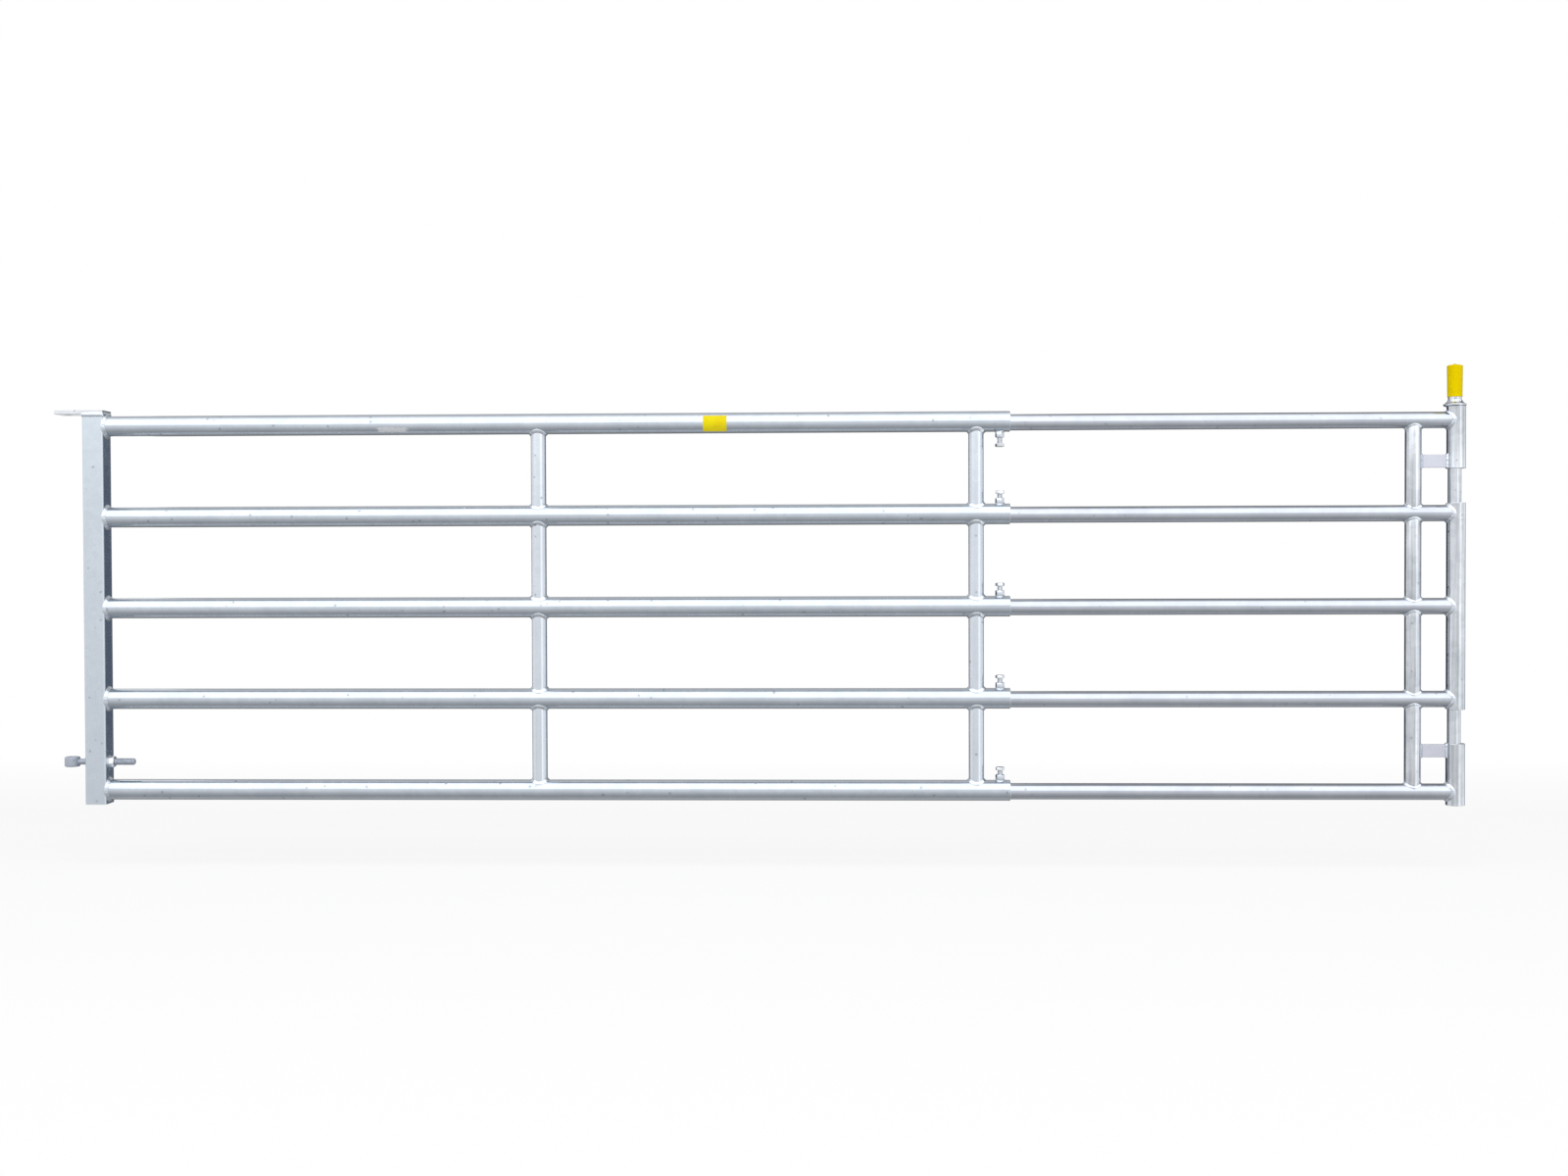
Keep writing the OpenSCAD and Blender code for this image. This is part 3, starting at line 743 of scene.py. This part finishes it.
def yellowPlastic():
    material, sheet = paint("yellowPlastic")
    place = sheet.node("ShaderNodeTexCoord", out="Object")
    cloud = sheet.noise(place, gripLook["cloud"], 3.0)
    drawn = sheet.node("ShaderNodeMapping", None, {"Vector": place, "Scale": gripLook["streak"]})
    streak = sheet.noise(drawn, 1.0, 3.0)
    grain = sheet.noise(place, gripLook["grain"], 2.0)
    share = sheet.ranged(cloud * 0.5 + streak * 0.5, 0.35, 0.62)
    height = grain * 0.4 + streak * 0.4
    bump = sheet.node("ShaderNodeBump", None, {"Strength": 0.03, "Distance": 0.0006, "Height": height})
    sheet.surface(sheet.node("ShaderNodeBsdfPrincipled", None, {
        "Base Color": sheet.blend(share, gripLook["deepYellow"], gripLook["yellow"]),
        "Roughness": (streak - 0.5) * 0.25 + 0.5, "Normal": bump,
        "Specular IOR Level": 0.12, "Specular Tint": (*gripLook["sheen"], 1)}))
    return material


settle("grip_moulding", gripMesh(), "latch_pin", yellowPlastic(), "grip", slot="yellow_grip")
print("latch pin made")

# weld beads: each path holds the corner, and the two legs along the metal that it joins
weldLook = {"stile": 5.2 * mm, "innerStile": 4.16 * mm, "post": 6.5 * mm, "postWrap": 0.5, "guide": 4.8 * mm,
            "plate": {"leg": 6.5 * mm, "rise": 0.9, "swell": 0.34, "support": 10 * mm},
            "bracket": 3.8 * mm, "nutRound": 9.8 * mm, "nut": {"leg": 1.8 * mm, "rise": 1.6 * mm},
            "eyeNut": {"leg": 3.4 * mm, "rise": 2.2 * mm},
            "tree": {"Step": 1.3 * mm, "Sides": 14, "Hollow": 1.35, "Lump": 0.30, "LumpScale": 170.0,
                     "Ripple": 0.10, "RipplePitch": 4.2 * mm, "Grit": 0.5 * mm, "GritScale": 420.0,
                     "Seed": 3.0}}


def unit(v):
    return v / np.maximum(np.linalg.norm(v, axis=-1, keepdims=True), 1e-9)


# where the two metals lie flush, the bead's crown stands out of the seam
def bead(leg, corner, legOne, legTwo, normalOne, normalTwo, swell=0.24):
    flush = 0.35 - 0.65 * (unit(legOne) * unit(legTwo)).sum(-1, keepdims=True)
    crown = unit(unit(normalOne) + unit(normalTwo)) * leg * swell * flush
    return np.broadcast_arrays(corner, legOne, legTwo, crown)


# round the foot of an upright on a lying tube
def saddleBead(upright, rail, side, leg, rise=None, pinch=1.0):
    cos, sin = cosSin(60)
    r, railR = upright["r"], rail["r"]
    lean = np.arcsin(np.clip(r * pinch * sin / railR, -1, 1))
    over = lean + leg * sin * pinch ** 4 / railR  # shorter on the rail where the upright is pressed in
    corner = points(upright["x"] + r * cos, r * pinch * sin, rail["z"] + side * railR * np.cos(lean))
    onRail = points(leg * cos, railR * (np.sin(over) - np.sin(lean)),
                    side * railR * (np.cos(over) - np.cos(lean)))
    return bead(leg, corner, points(0, 0, side * (rise or leg)), onRail,
                points(cos, sin, 0), points(0, np.sin(lean), side * np.cos(lean)))


# round a rail's end on the post, where the post's corners fall away
def postBead(rail, leg):
    cos, sin = cosSin(84)
    flatHalf = postHalf - postCorner

    def skin(length):  # the place on the post at a length from the middle of its face
        past = np.clip(np.abs(length) - flatHalf, 0, None)
        turn = np.clip(past / postCorner, 0, math.pi / 2)
        beyond = np.clip(past - postCorner * math.pi / 2, 0, None)
        y = np.minimum(np.abs(length), flatHalf) + postCorner * np.sin(turn)
        return postHigh.x - postCorner + postCorner * np.cos(turn) - beyond, np.sign(length) * y, turn

    reach = np.abs(rail["r"] * cos)
    past = np.clip(reach - flatHalf, 0, postCorner)
    length = np.minimum(reach, flatHalf) + postCorner * np.arcsin(past / postCorner)
    x1, y1, turn = skin(np.sign(cos) * length)
    x2, y2, _ = skin(np.sign(cos) * (length + leg * weldLook["postWrap"] * np.abs(cos)))
    return bead(leg, points(x1, y1, rail["z"] + rail["r"] * sin), points(leg, 0, 0),
                points(x2 - x1, y2 - y1, leg * sin), points(0, cos, sin),
                points(np.cos(turn), np.sign(cos) * np.sin(turn), 0))


# round an inner rail's end on a guide
def guideBead(rail, leg):
    cos, sin = cosSin(72)
    r, railR = guide["r"], rail["r"]
    lean = np.arcsin(np.clip(railR * cos / r, -1, 1))
    over = lean + leg * cos / r
    corner = points(guide["x"] - r * np.cos(lean), railR * cos, rail["z"] + railR * sin)
    onGuide = points(r * (np.cos(lean) - np.cos(over)), r * (np.sin(over) - np.sin(lean)), leg * sin)
    return bead(leg, corner, points(-leg, 0, 0), onGuide,
                points(0, cos, sin), points(-np.cos(lean), np.sin(lean), 0))


# round the eye bolt's nut on the post's face
def faceBead(r, leg, rise):
    cos, sin = cosSin(48)
    return bead(leg, points(postHigh.x, r * cos, boltZ + r * sin), points(rise, 0, 0),
                points(0, leg * cos, leg * sin), points(0, cos, sin), points(1, 0, 0))


# along the joint between the post's top and the hinge plate
def plateBead(leg, rise, swell, support):
    outline = squareOutline(postHalf, postCorner, support)
    ahead = np.roll(outline, -1, 0) - np.roll(outline, 1, 0)
    out = unit(np.stack([-ahead[:, 1], ahead[:, 0]], -1))
    out *= np.sign((out * outline).sum(-1, keepdims=True))
    out = points(*out.T, 0)
    up = points(0, 0, 1)
    under = np.clip(-out[:, :1], 0, 1)  # the plate runs on past the post's left face
    corner = points(outline[:, 0] + postCentre, outline[:, 1], postHigh.z)
    onPlate = up * leg * rise * (1 - under) + out * leg * under
    return bead(leg, corner, onPlate, -up * leg, out, out - up * under, swell)


# round a bracket's end on an upright
def bracketBead(node, upright, side, leg):
    low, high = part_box(node)
    half, tall, middle = (high.y - low.y) / 2, (high.z - low.z) / 2, (high.z + low.z) / 2
    t = circle(40) + 0.05  # no point falls between two sides
    cos, sin, r = np.cos(t), np.sin(t), upright["r"]
    y = half * np.copysign(1, cos) + 0.4 * mm * cos
    z = (tall - half) * np.copysign(1, sin) + half * sin
    outY, outZ = np.clip(y / half, -1, 1), np.clip(z / tall, -1, 1) ** 5
    lean = np.arcsin(y / r)
    over = lean + leg * outY / r
    corner = points(upright["x"] + side * r * np.cos(lean), y, middle + z)
    onUpright = points(side * r * (np.cos(over) - np.cos(lean)),
                       r * (np.sin(over) - np.sin(lean)), leg * outZ)
    return bead(leg, corner, points(side * leg, 0, 0), onUpright,
                points(0, outY, outZ), points(side * np.cos(lean), np.sin(lean), 0))


def pathMesh(name, loops):
    mesh = bpy.data.meshes.new(name)
    corners, legOnes, legTwos, crowns = (np.concatenate(part) for part in zip(*loops))
    edges, count = [], 0
    for loop in loops:
        n = len(loop[0])
        edges += [(count + k, count + (k + 1) % n) for k in range(n)]
        count += n
    mesh.from_pydata(corners.tolist(), edges, [])
    for label, vectors in (("legOne", legOnes), ("legTwo", legTwos), ("crown", crowns)):
        mesh.attributes.new(label, "FLOAT_VECTOR", "POINT").data.foreach_set("vector", vectors.ravel())
    return mesh


def beadTree():
    made, sheet, given = geometryTree("weldBead", Step="Float", Sides="Int", Hollow="Float", Lump="Float",
                                      LumpScale="Float", Ripple="Float", RipplePitch="Float", Grit="Float",
                                      GritScale="Float", Seed="Float")
    path = sheet.node("GeometryNodeMeshToCurve", None, {"Mesh": given["Geometry"]})
    path = sheet.node("GeometryNodeResampleCurve", {"mode": "LENGTH"},
                      {"Curve": path, "Length": given["Step"]})
    place = sheet.node("GeometryNodeInputPosition")
    held = sheet.node("GeometryNodeCaptureAttribute", {"captures": [("VECTOR", "corner"), ("FLOAT", "run")]},
                      {0: path, 1: place, 2: sheet.node("GeometryNodeSplineParameter", out="Length")})
    profile = sheet.node("GeometryNodeCurvePrimitiveCircle", {"mode": "RADIUS"},
                         {"Resolution": given["Sides"], "Radius": 0.001})
    around = sheet.node("GeometryNodeCaptureAttribute", {"captures": [("FLOAT", "around")]},
                        {0: profile, 1: sheet.node("GeometryNodeSplineParameter", out="Factor")})
    swept = sheet.node("GeometryNodeCurveToMesh", None, {"Curve": held, "Profile Curve": around})
    corner, run = held.out("corner"), held.out("run")
    seeded = {"settings": {"noise_dimensions": "4D"}, "W": given["Seed"]}
    lump = sheet.noise(corner, given["LumpScale"], 2.0, **seeded)
    pulse = (run / given["RipplePitch"] * math.pi).math("SINE").math("ABSOLUTE")
    size = (lump - 0.5) * given["Lump"] * 2 + pulse * given["Ripple"] + 0.95
    # the face runs from one metal to the other, then the profile closes inside them
    face = sheet.ranged(around.out("around"), 0.0, 0.7)
    back = sheet.ranged(around.out("around"), 0.7, 1.0)
    sink = (back * math.pi).math("SINE") * 0.75
    shares = {"legOne": (1 - face).math("POWER", given["Hollow"]) + back - sink,
              "legTwo": face.math("POWER", given["Hollow"]) * (1 - back) - sink,
              "crown": (face * math.pi).math("SINE")}
    spot = corner
    for label, share in shares.items():
        leg = sheet.node("GeometryNodeInputNamedAttribute", {"data_type": "FLOAT_VECTOR"}, {"Name": label})
        spot = sheet.vector("ADD", spot, sheet.vector("SCALE", leg, scale=share * size))
    lumpy = sheet.node("GeometryNodeSetPosition", None, {"Geometry": swept, "Position": spot})
    fine = (sheet.noise(place, given["GritScale"], 1.0, **seeded) - 0.5) * given["Grit"] * 2
    nudge = sheet.vector("SCALE", sheet.node("GeometryNodeInputNormal"), scale=fine)
    lumpy = sheet.node("GeometryNodeSetPosition", None, {"Geometry": lumpy, "Offset": nudge})
    endTree(sheet, lumpy, given["Metal"])
    return made


weldBead = beadTree()
outerBeads, slidingBeads = [], []
for i in range(4):
    for stile in (midStile, endStile):
        for rail, side in ((outerRails[i], -1), (outerRails[i + 1], 1)):
            outerBeads.append(saddleBead(stile, rail, side, weldLook["stile"]))
    for rail, side in ((innerRails[i], -1), (innerRails[i + 1], 1)):
        slidingBeads.append(saddleBead(innerStile, rail, side, weldLook["innerStile"],
                                       pinch=stileLook["pinch"]))
nutRound = {"x": clampX, "r": weldLook["nutRound"]}
for i, rail in enumerate(outerRails, 1):
    outerBeads.append(postBead(rail, weldLook["post"]))
    outerBeads.append(saddleBead(nutRound, rail, clampSide(i), **weldLook["nut"]))
outerBeads.append(faceBead(eyeLook["nutAf"] / 2, **weldLook["eyeNut"]))
outerBeads.append(plateBead(**weldLook["plate"]))
for rail in innerRails:
    slidingBeads.append(guideBead(rail, weldLook["guide"]))
for node in ("upper_bracket", "lower_bracket"):
    slidingBeads.append(bracketBead(node, innerStile, 1, weldLook["bracket"]))
    slidingBeads.append(bracketBead(node, guide, -1, weldLook["bracket"]))
for body, loops in (("outer_frame", outerBeads), ("sliding_section", slidingBeads)):
    welds = runTree(body + "Welds", weldBead, pathMesh(body + "Paths", loops), "weldZinc", weldLook["tree"])
    settle(body + "_welds", welds, body, None)
    print("welds on", body, len(welds.polygons), "faces")

# dross pimples, as hot-dip zinc leaves them, and spatter round the welded nut
pimpleLook = {"sides": 24, "spatter": 90.0, "spatterBelow": 36 * mm, "spatterAbove": 30 * mm,
              "postClear": 10 * mm, "endClear": 4 * mm, "stileClear": 30 * mm, "innerClear": 20 * mm,
              "tree": {"Density": 90.0, "Least": 0.5 * mm, "Largest": 2.0 * mm, "Flatness": 0.22, "Seed": 11}}


def pimpleTree():
    made, sheet, given = geometryTree("drossPimples", Density="Float", Least="Float", Largest="Float",
                                      Flatness="Float", Seed="Int")
    crowd = sheet.node("GeometryNodeInputNamedAttribute", {"data_type": "FLOAT"}, {"Name": "crowd"})
    spots = sheet.node("GeometryNodeDistributePointsOnFaces", {"distribute_method": "RANDOM"}, {
        "Mesh": given["Geometry"], "Density": given["Density"] * crowd, "Seed": given["Seed"]})
    chance, other = (sheet.node("FunctionNodeRandomValue", {"data_type": "FLOAT"}, {"Seed": seed}, 1)
                     for seed in (given["Seed"], given["Seed"] + 5))
    size = given["Least"] + (given["Largest"] - given["Least"]) * chance.math("POWER", 3.0)
    scale = sheet.node("ShaderNodeCombineXYZ", None,
                       {"X": size * (other * 0.8 + 0.8), "Y": size, "Z": size * given["Flatness"]})
    blob = sheet.node("GeometryNodeMeshIcoSphere", None, {"Radius": 1.0, "Subdivisions": 2})
    strewn = sheet.node("GeometryNodeInstanceOnPoints", None, {
        "Points": spots, "Instance": blob, "Rotation": spots.out("Rotation"), "Scale": scale})
    endTree(sheet, strewn, given["Metal"])
    return made


# bare tubes, and a patch of the post, for the pimples to sit on
def skinMesh(name, tubes, patch=None):
    n = pimpleLook["sides"]
    corners, faces, crowd = [], [], []
    for axis, centre, r, start, end in tubes:
        base = len(corners)
        corners += ring(axis, centre, r, start, n).tolist() + ring(axis, centre, r, end, n).tolist()
        crowd += [1.0] * (2 * n)
        faces += [(base + k, base + (k + 1) % n, base + n + (k + 1) % n, base + n + k) for k in range(n)]
    if patch:
        base, (outline, foot, top) = len(corners), patch
        n = len(outline)
        corners += [(x, y, z) for z in (foot, top) for x, y in outline]
        crowd += [pimpleLook["spatter"]] * (2 * n)
        faces += [(base + k, base + k + 1, base + n + k + 1, base + n + k) for k in range(n - 1)]
    mesh = bpy.data.meshes.new(name)
    mesh.from_pydata(corners, [], faces)
    mesh.attributes.new("crowd", "FLOAT", "POINT").data.foreach_set("value", crowd)
    return mesh


def stileSkin(stile, above, below, clear):
    return "z", (stile["x"], 0, 0), stile["r"], below["z"] + clear, above["z"] - clear


drossPimples = pimpleTree()
postClear, endClear = pimpleLook["postClear"], pimpleLook["endClear"]
outerSkin = [("x", (0, 0, rail["z"]), rail["r"], rail["start"] + postClear, rail["end"] - endClear)
             for rail in outerRails]
outerSkin += [stileSkin(stile, outerRails[i], outerRails[i + 1], pimpleLook["stileClear"])
              for i in range(4) for stile in (midStile, endStile)]
slidingSkin = [stileSkin(innerStile, innerRails[i], innerRails[i + 1], pimpleLook["innerClear"])
               for i in range(4)]
slidingSkin += [("z", (g["x"], 0, 0), g["r"], g["foot"] + endClear, g["top"] - endClear)
                for g in guides.values()]
spatterEdge = [(postHigh.x - postCorner + postCorner * math.cos(t),
                postCorner - postHalf - postCorner * math.sin(t)) for t in np.linspace(1.3, 0, 6)]
spatter = (spatterEdge + [(postHigh.x, postHalf - postCorner)],
           boltZ - pimpleLook["spatterBelow"], boltZ + pimpleLook["spatterAbove"])
for body, skin, patch in (("outer_frame", outerSkin, spatter), ("sliding_section", slidingSkin, None)):
    bare = skinMesh(body + "Skin", skin, patch)
    dross = runTree(body + "Dross", drossPimples, bare, "weldZinc", pimpleLook["tree"])
    settle(body + "_dross", dross, body, None)
    print("dross on", body, len(dross.polygons), "faces")

# the plain label on the top rail's front: its ends along x, and its edges in degrees above the front
labelLook = {"start": 1.505, "end": 1.560, "up": 41, "down": -57, "thick": 0.18 * mm, "sunk": -0.05 * mm,
             "corner": 2.2 * mm, "step": 1.5 * mm, "rows": 14,
             "yellow": (0.84, 0.72, 0.004), "deepYellow": (0.78, 0.60, 0.003), "cloud": 45.0, "scuff": 320.0}


def labelMesh():
    rail, c, rowCount = outerRails[0], labelLook["corner"], labelLook["rows"]
    arcUp, arcDown = math.radians(labelLook["up"]), math.radians(labelLook["down"])
    width, tall = labelLook["end"] - labelLook["start"], (arcUp - arcDown) * rail["r"]
    corners = []
    for x, y, start in ((width - c, tall - c, 0), (c, tall - c, 90), (c, c, 180), (width - c, c, 270)):
        turns = [math.radians(start + t) for t in range(0, 91, 15)]
        corners += [(x + c * math.cos(t), y + c * math.sin(t)) for t in turns]
    corners = np.array(corners)
    outline = []
    for one, two in zip(corners, np.roll(corners, -1, 0)):  # short steps, so that it follows the tube
        steps = max(1, int(np.linalg.norm(two - one) / labelLook["step"]))
        outline += [one + (two - one) * f for f in np.linspace(0, 1, steps, endpoint=False)]
    outline, middle = np.array(outline), np.array([width / 2, tall / 2])
    shares = [k / rowCount for k in range(rowCount + 1)]
    layers = [(f, labelLook["sunk"]) for f in shares] + [(f, labelLook["thick"]) for f in reversed(shares)]
    rows = []
    for share, lift in layers:  # out along the back, in along the front
        x, along = (middle + (outline - middle) * share).T
        angle, out = arcDown + along / rail["r"], rail["r"] + lift
        rows.append(points(labelLook["start"] + x, -out * np.cos(angle), rail["z"] + out * np.sin(angle)))
    return shaded(gridMesh("railLabel", rows), 50)


def labelFilm():
    material, sheet = paint("yellowFilm")
    place = sheet.node("ShaderNodeTexCoord", out="Object")
    cloud = sheet.noise(place, labelLook["cloud"], 4.0)
    scuff = sheet.noise(place, labelLook["scuff"], 3.0)
    share = sheet.ranged(cloud, 0.3, 0.7)
    height = cloud + scuff * 0.3
    bump = sheet.node("ShaderNodeBump", None, {"Strength": 0.08, "Distance": 0.0004, "Height": height})
    sheet.surface(sheet.node("ShaderNodeBsdfPrincipled", None, {
        "Base Color": sheet.blend(share, labelLook["deepYellow"], labelLook["yellow"]),
        "Roughness": scuff * 0.3 + 0.35, "Normal": bump, "Specular IOR Level": 0.15}))
    return material


settle("rail_label", labelMesh(), "outer_frame", labelFilm(), slot="yellow_grip")
print("label made")

# camera, as in the photograph
cameraLook = {"spot": (1.8224, -4.0756, -0.3457), "yaw": -1.8363, "pitch": -0.9523, "roll": -0.1822,
              "lens": 40.016}
yaw, pitch, roll = (math.radians(cameraLook[k]) for k in ("yaw", "pitch", "roll"))
ahead = Vector((math.sin(yaw) * math.cos(pitch), math.cos(yaw) * math.cos(pitch), math.sin(pitch)))
right = Vector((math.cos(yaw), -math.sin(yaw), 0))
above = right.cross(ahead)
sideways = right * math.cos(roll) + above * math.sin(roll)
upward = above * math.cos(roll) - right * math.sin(roll)
lensData = bpy.data.cameras.new("photoCamera")
lensData.sensor_fit, lensData.sensor_width, lensData.lens = "HORIZONTAL", 36, cameraLook["lens"]
lensData.clip_start, lensData.clip_end = 0.05, 200
photoCamera = placed("photoCamera", lensData)
aimed = Matrix((sideways, upward, -ahead)).transposed().to_4x4()
aimed.translation = cameraLook["spot"]
photoCamera.matrix_world = aimed
scene.camera = photoCamera

# stage: white floor and surround, soft boxes, and cards that only reflections see
scene.view_settings.view_transform = "Standard"
stageLook = {"floorDrop": 0.15, "floorHalf": 60, "clear": (0.9, 2.2, 0.85), "fill": 0.38,
             "fillTint": (0.93, 0.96, 1.0, 1)}


def seenDirectly(sheet):
    path = sheet.node("ShaderNodeLightPath", out="Is Camera Ray")
    return path.math("MAXIMUM", path.out("Is Glossy Ray")).math("MAXIMUM", path.out("Is Transmission Ray"))


world = bpy.data.worlds.new("surround")
scene.world = world
world.use_nodes = True
world.node_tree.nodes.clear()
sheet = NodeSheet(world.node_tree)
fill = sheet.node("ShaderNodeBackground", None,
                  {"Color": stageLook["fillTint"], "Strength": stageLook["fill"]})
white = sheet.node("ShaderNodeBackground", None, {"Color": (1, 1, 1, 1), "Strength": 1.0})
sheet.surface(sheet.node("ShaderNodeMixShader", None, {0: seenDirectly(sheet), 1: fill, 2: white}), "World")


def stageSheet(name, corners):
    mesh = bpy.data.meshes.new(name)
    mesh.from_pydata(corners, [], [(0, 1, 2, 3)])
    piece = placed(name, mesh)
    return piece


floorZ, floorHalf = cadLow.z - stageLook["floorDrop"], stageLook["floorHalf"]
floorCorners = [(x * floorHalf, y * floorHalf, floorZ) for x, y in ((-1, -1), (1, -1), (1, 1), (-1, 1))]
floor = stageSheet("floor", floorCorners)
floorPaint, sheet = paint("floorPaint")
matt = sheet.node("ShaderNodeBsdfDiffuse", None, {"Color": (0.88, 0.88, 0.88, 1)})
glow = sheet.node("ShaderNodeEmission", None, {"Color": (1, 1, 1, 1), "Strength": 1.0})
spot = sheet.parts(sheet.node("ShaderNodeTexCoord", out="Object"))
beyond = (spot.out("X") - (cadLow.x + cadHigh.x) / 2).math("ABSOLUTE") - (cadHigh.x - cadLow.x) / 2
distance = spot.out("Y").math("ABSOLUTE").math("MAXIMUM", beyond)
near, far, least = stageLook["clear"]  # white beyond the shadow
clear = sheet.ranged(distance, near, far, least, 1.0)
sheet.surface(sheet.node("ShaderNodeMixShader", None, {0: seenDirectly(sheet) * clear, 1: matt, 2: glow}))
floor.data.materials.append(floorPaint)
floor.visible_glossy = False  # the tent stands in for it

# a tent round the gate. Tones by angle: 0 is level in front, 90 above, -90 below
tentLook = {"radius": 7.0, "middle": -0.45, "ends": (-12.0, 15.0), "sides": 48, "peak": 1.7,
            "glint": (5.4, 7.4, 0.6), "fade": (8.5, 12.0, 0.5), "gloom": (2.7, 3.3, 0.5),
            "tones": {-180: 0.7, -168: 0.6, -155: 0.24, -138: 0.24, -122: 0.38, -105: 0.60, -89: 0.41,
                      -63: 0.41, -40: 0.56, -18: 0.77, -8: 0.9, 4: 0.96, 8: 1.06, 13: 1.38, 18: 1.68,
                      70: 1.68, 84: 1.34, 96: 0.91, 112: 0.70, 135: 0.56, 150: 0.56, 170: 0.7, 180: 0.7}}


def onlyReflected(card, tone, strength):
    material, sheet = paint(card.name + "Paint")
    sheet.surface(sheet.node("ShaderNodeEmission", None, {"Color": tone(sheet), "Strength": strength}))
    material.cycles.emission_sampling = "NONE"
    card.data.materials.append(material)
    for ray in ("camera", "diffuse", "shadow", "transmission", "volume_scatter"):
        setattr(card, "visible_" + ray, False)


def tentTone(sheet):
    spot = sheet.parts(sheet.node("ShaderNodeTexCoord", out="Object"))
    angle = (spot.out("Z") - tentLook["middle"]).math("ARCTAN2", spot.out("Y") * -1)
    stops = [((turn + 180) / 360, tone / tentLook["peak"]) for turn, tone in tentLook["tones"].items()]
    tone = sheet.node("ShaderNodeValToRGB", {"stops": stops}, {"Fac": angle / fullTurn + 0.5})
    start, full, share = tentLook["gloom"]  # darker behind and above, to the right
    gloom = sheet.ranged(spot.out("X"), start, full, 0.0, share) * sheet.ranged(spot.out("Y"), 1.0, 4.0)
    tone = sheet.blend(gloom * sheet.ranged(spot.out("Z"), 0.0, 2.0), tone, (0, 0, 0))
    start, full, share = tentLook["glint"]  # brighter in front, to the right
    glint = sheet.ranged(spot.out("X"), start, full, 0.0, share)
    glint = glint * sheet.ranged(spot.out("Y"), -1.0, 0.5, 1.0, 0.0)
    near, far, rest = tentLook["fade"]
    return sheet.blend(glint * sheet.ranged(spot.out("X"), near, far, 1.0, rest), tone, (1, 1, 1))


tentRows = [ring("x", (0, 0, tentLook["middle"]), tentLook["radius"], x, tentLook["sides"])
            for x in tentLook["ends"]]
tent = placed("tent", gridMesh("tent", tentRows))
onlyReflected(tent, tentTone, tentLook["peak"])

# a dark card behind the gate, for the far edges of its tubes: tones by place along x
cardLook = {"y": 6.5, "ends": (-6.0, 14.0), "heights": (-2.15, 0.85), "tint": (0.80, 1.0, 1.35),
            "tones": {-6.0: 0.04, 0.0: 0.04, 1.2: 0.12, 5.2: 0.12, 11.4: 0.42, 14.0: 0.42}}
# and a small white one, for the hinge plate's underside
bounceLook = {"y": 0.5, "ends": (-0.8, 0.0), "heights": (-0.35, 0.25), "tone": 1.0}


def standingCard(name, look):
    (start, end), (foot, top) = look["ends"], look["heights"]
    corners = ((start, foot), (end, foot), (end, top), (start, top))
    return stageSheet(name, [(x, look["y"], z) for x, z in corners])


def cardTone(sheet):
    spot = sheet.parts(sheet.node("ShaderNodeTexCoord", out="Object"))
    start, end = cardLook["ends"]
    stops = [((x - start) / (end - start), tone) for x, tone in cardLook["tones"].items()]
    along = sheet.ranged(spot.out("X"), start, end)
    tone = sheet.node("ShaderNodeValToRGB", {"stops": stops}, {"Fac": along})
    return sheet.blend(tone, (0, 0, 0), cardLook["tint"])


onlyReflected(standingCard("backCard", cardLook), cardTone, 1.0)
onlyReflected(standingCard("bounceCard", bounceLook), lambda sheet: (1, 1, 1, 1), bounceLook["tone"])

# soft boxes, left out of the reflections
boxLooks = {
    "top": {"spot": (1.6, -1.75, 3.2), "aim": (1.6, -1.3, -0.45), "size": (9, 2.0), "glow": 2.05},
    "front": {"spot": (1.4, -4.6, 2.6), "aim": (1.6, 0, -0.3), "size": (9, 2.6), "glow": 1.7},
    "right": {"spot": (6.2, -3.4, 0.3), "aim": (2.2, 0, -0.45), "size": (1.1, 2.8), "glow": 1.8},
}
for name, look in boxLooks.items():
    lamp = bpy.data.lights.new(name + "Box", "AREA")
    lamp.shape, lamp.size, lamp.size_y = "RECTANGLE", *look["size"]
    lamp.energy = look["glow"] * math.pi * look["size"][0] * look["size"][1]
    box = placed(name + "Box", lamp)
    box.location = look["spot"]
    box.rotation_euler = (Vector(look["aim"]) - Vector(look["spot"])).to_track_quat("-Z", "Y").to_euler()
    box.visible_camera = box.visible_glossy = False
print("stage set")
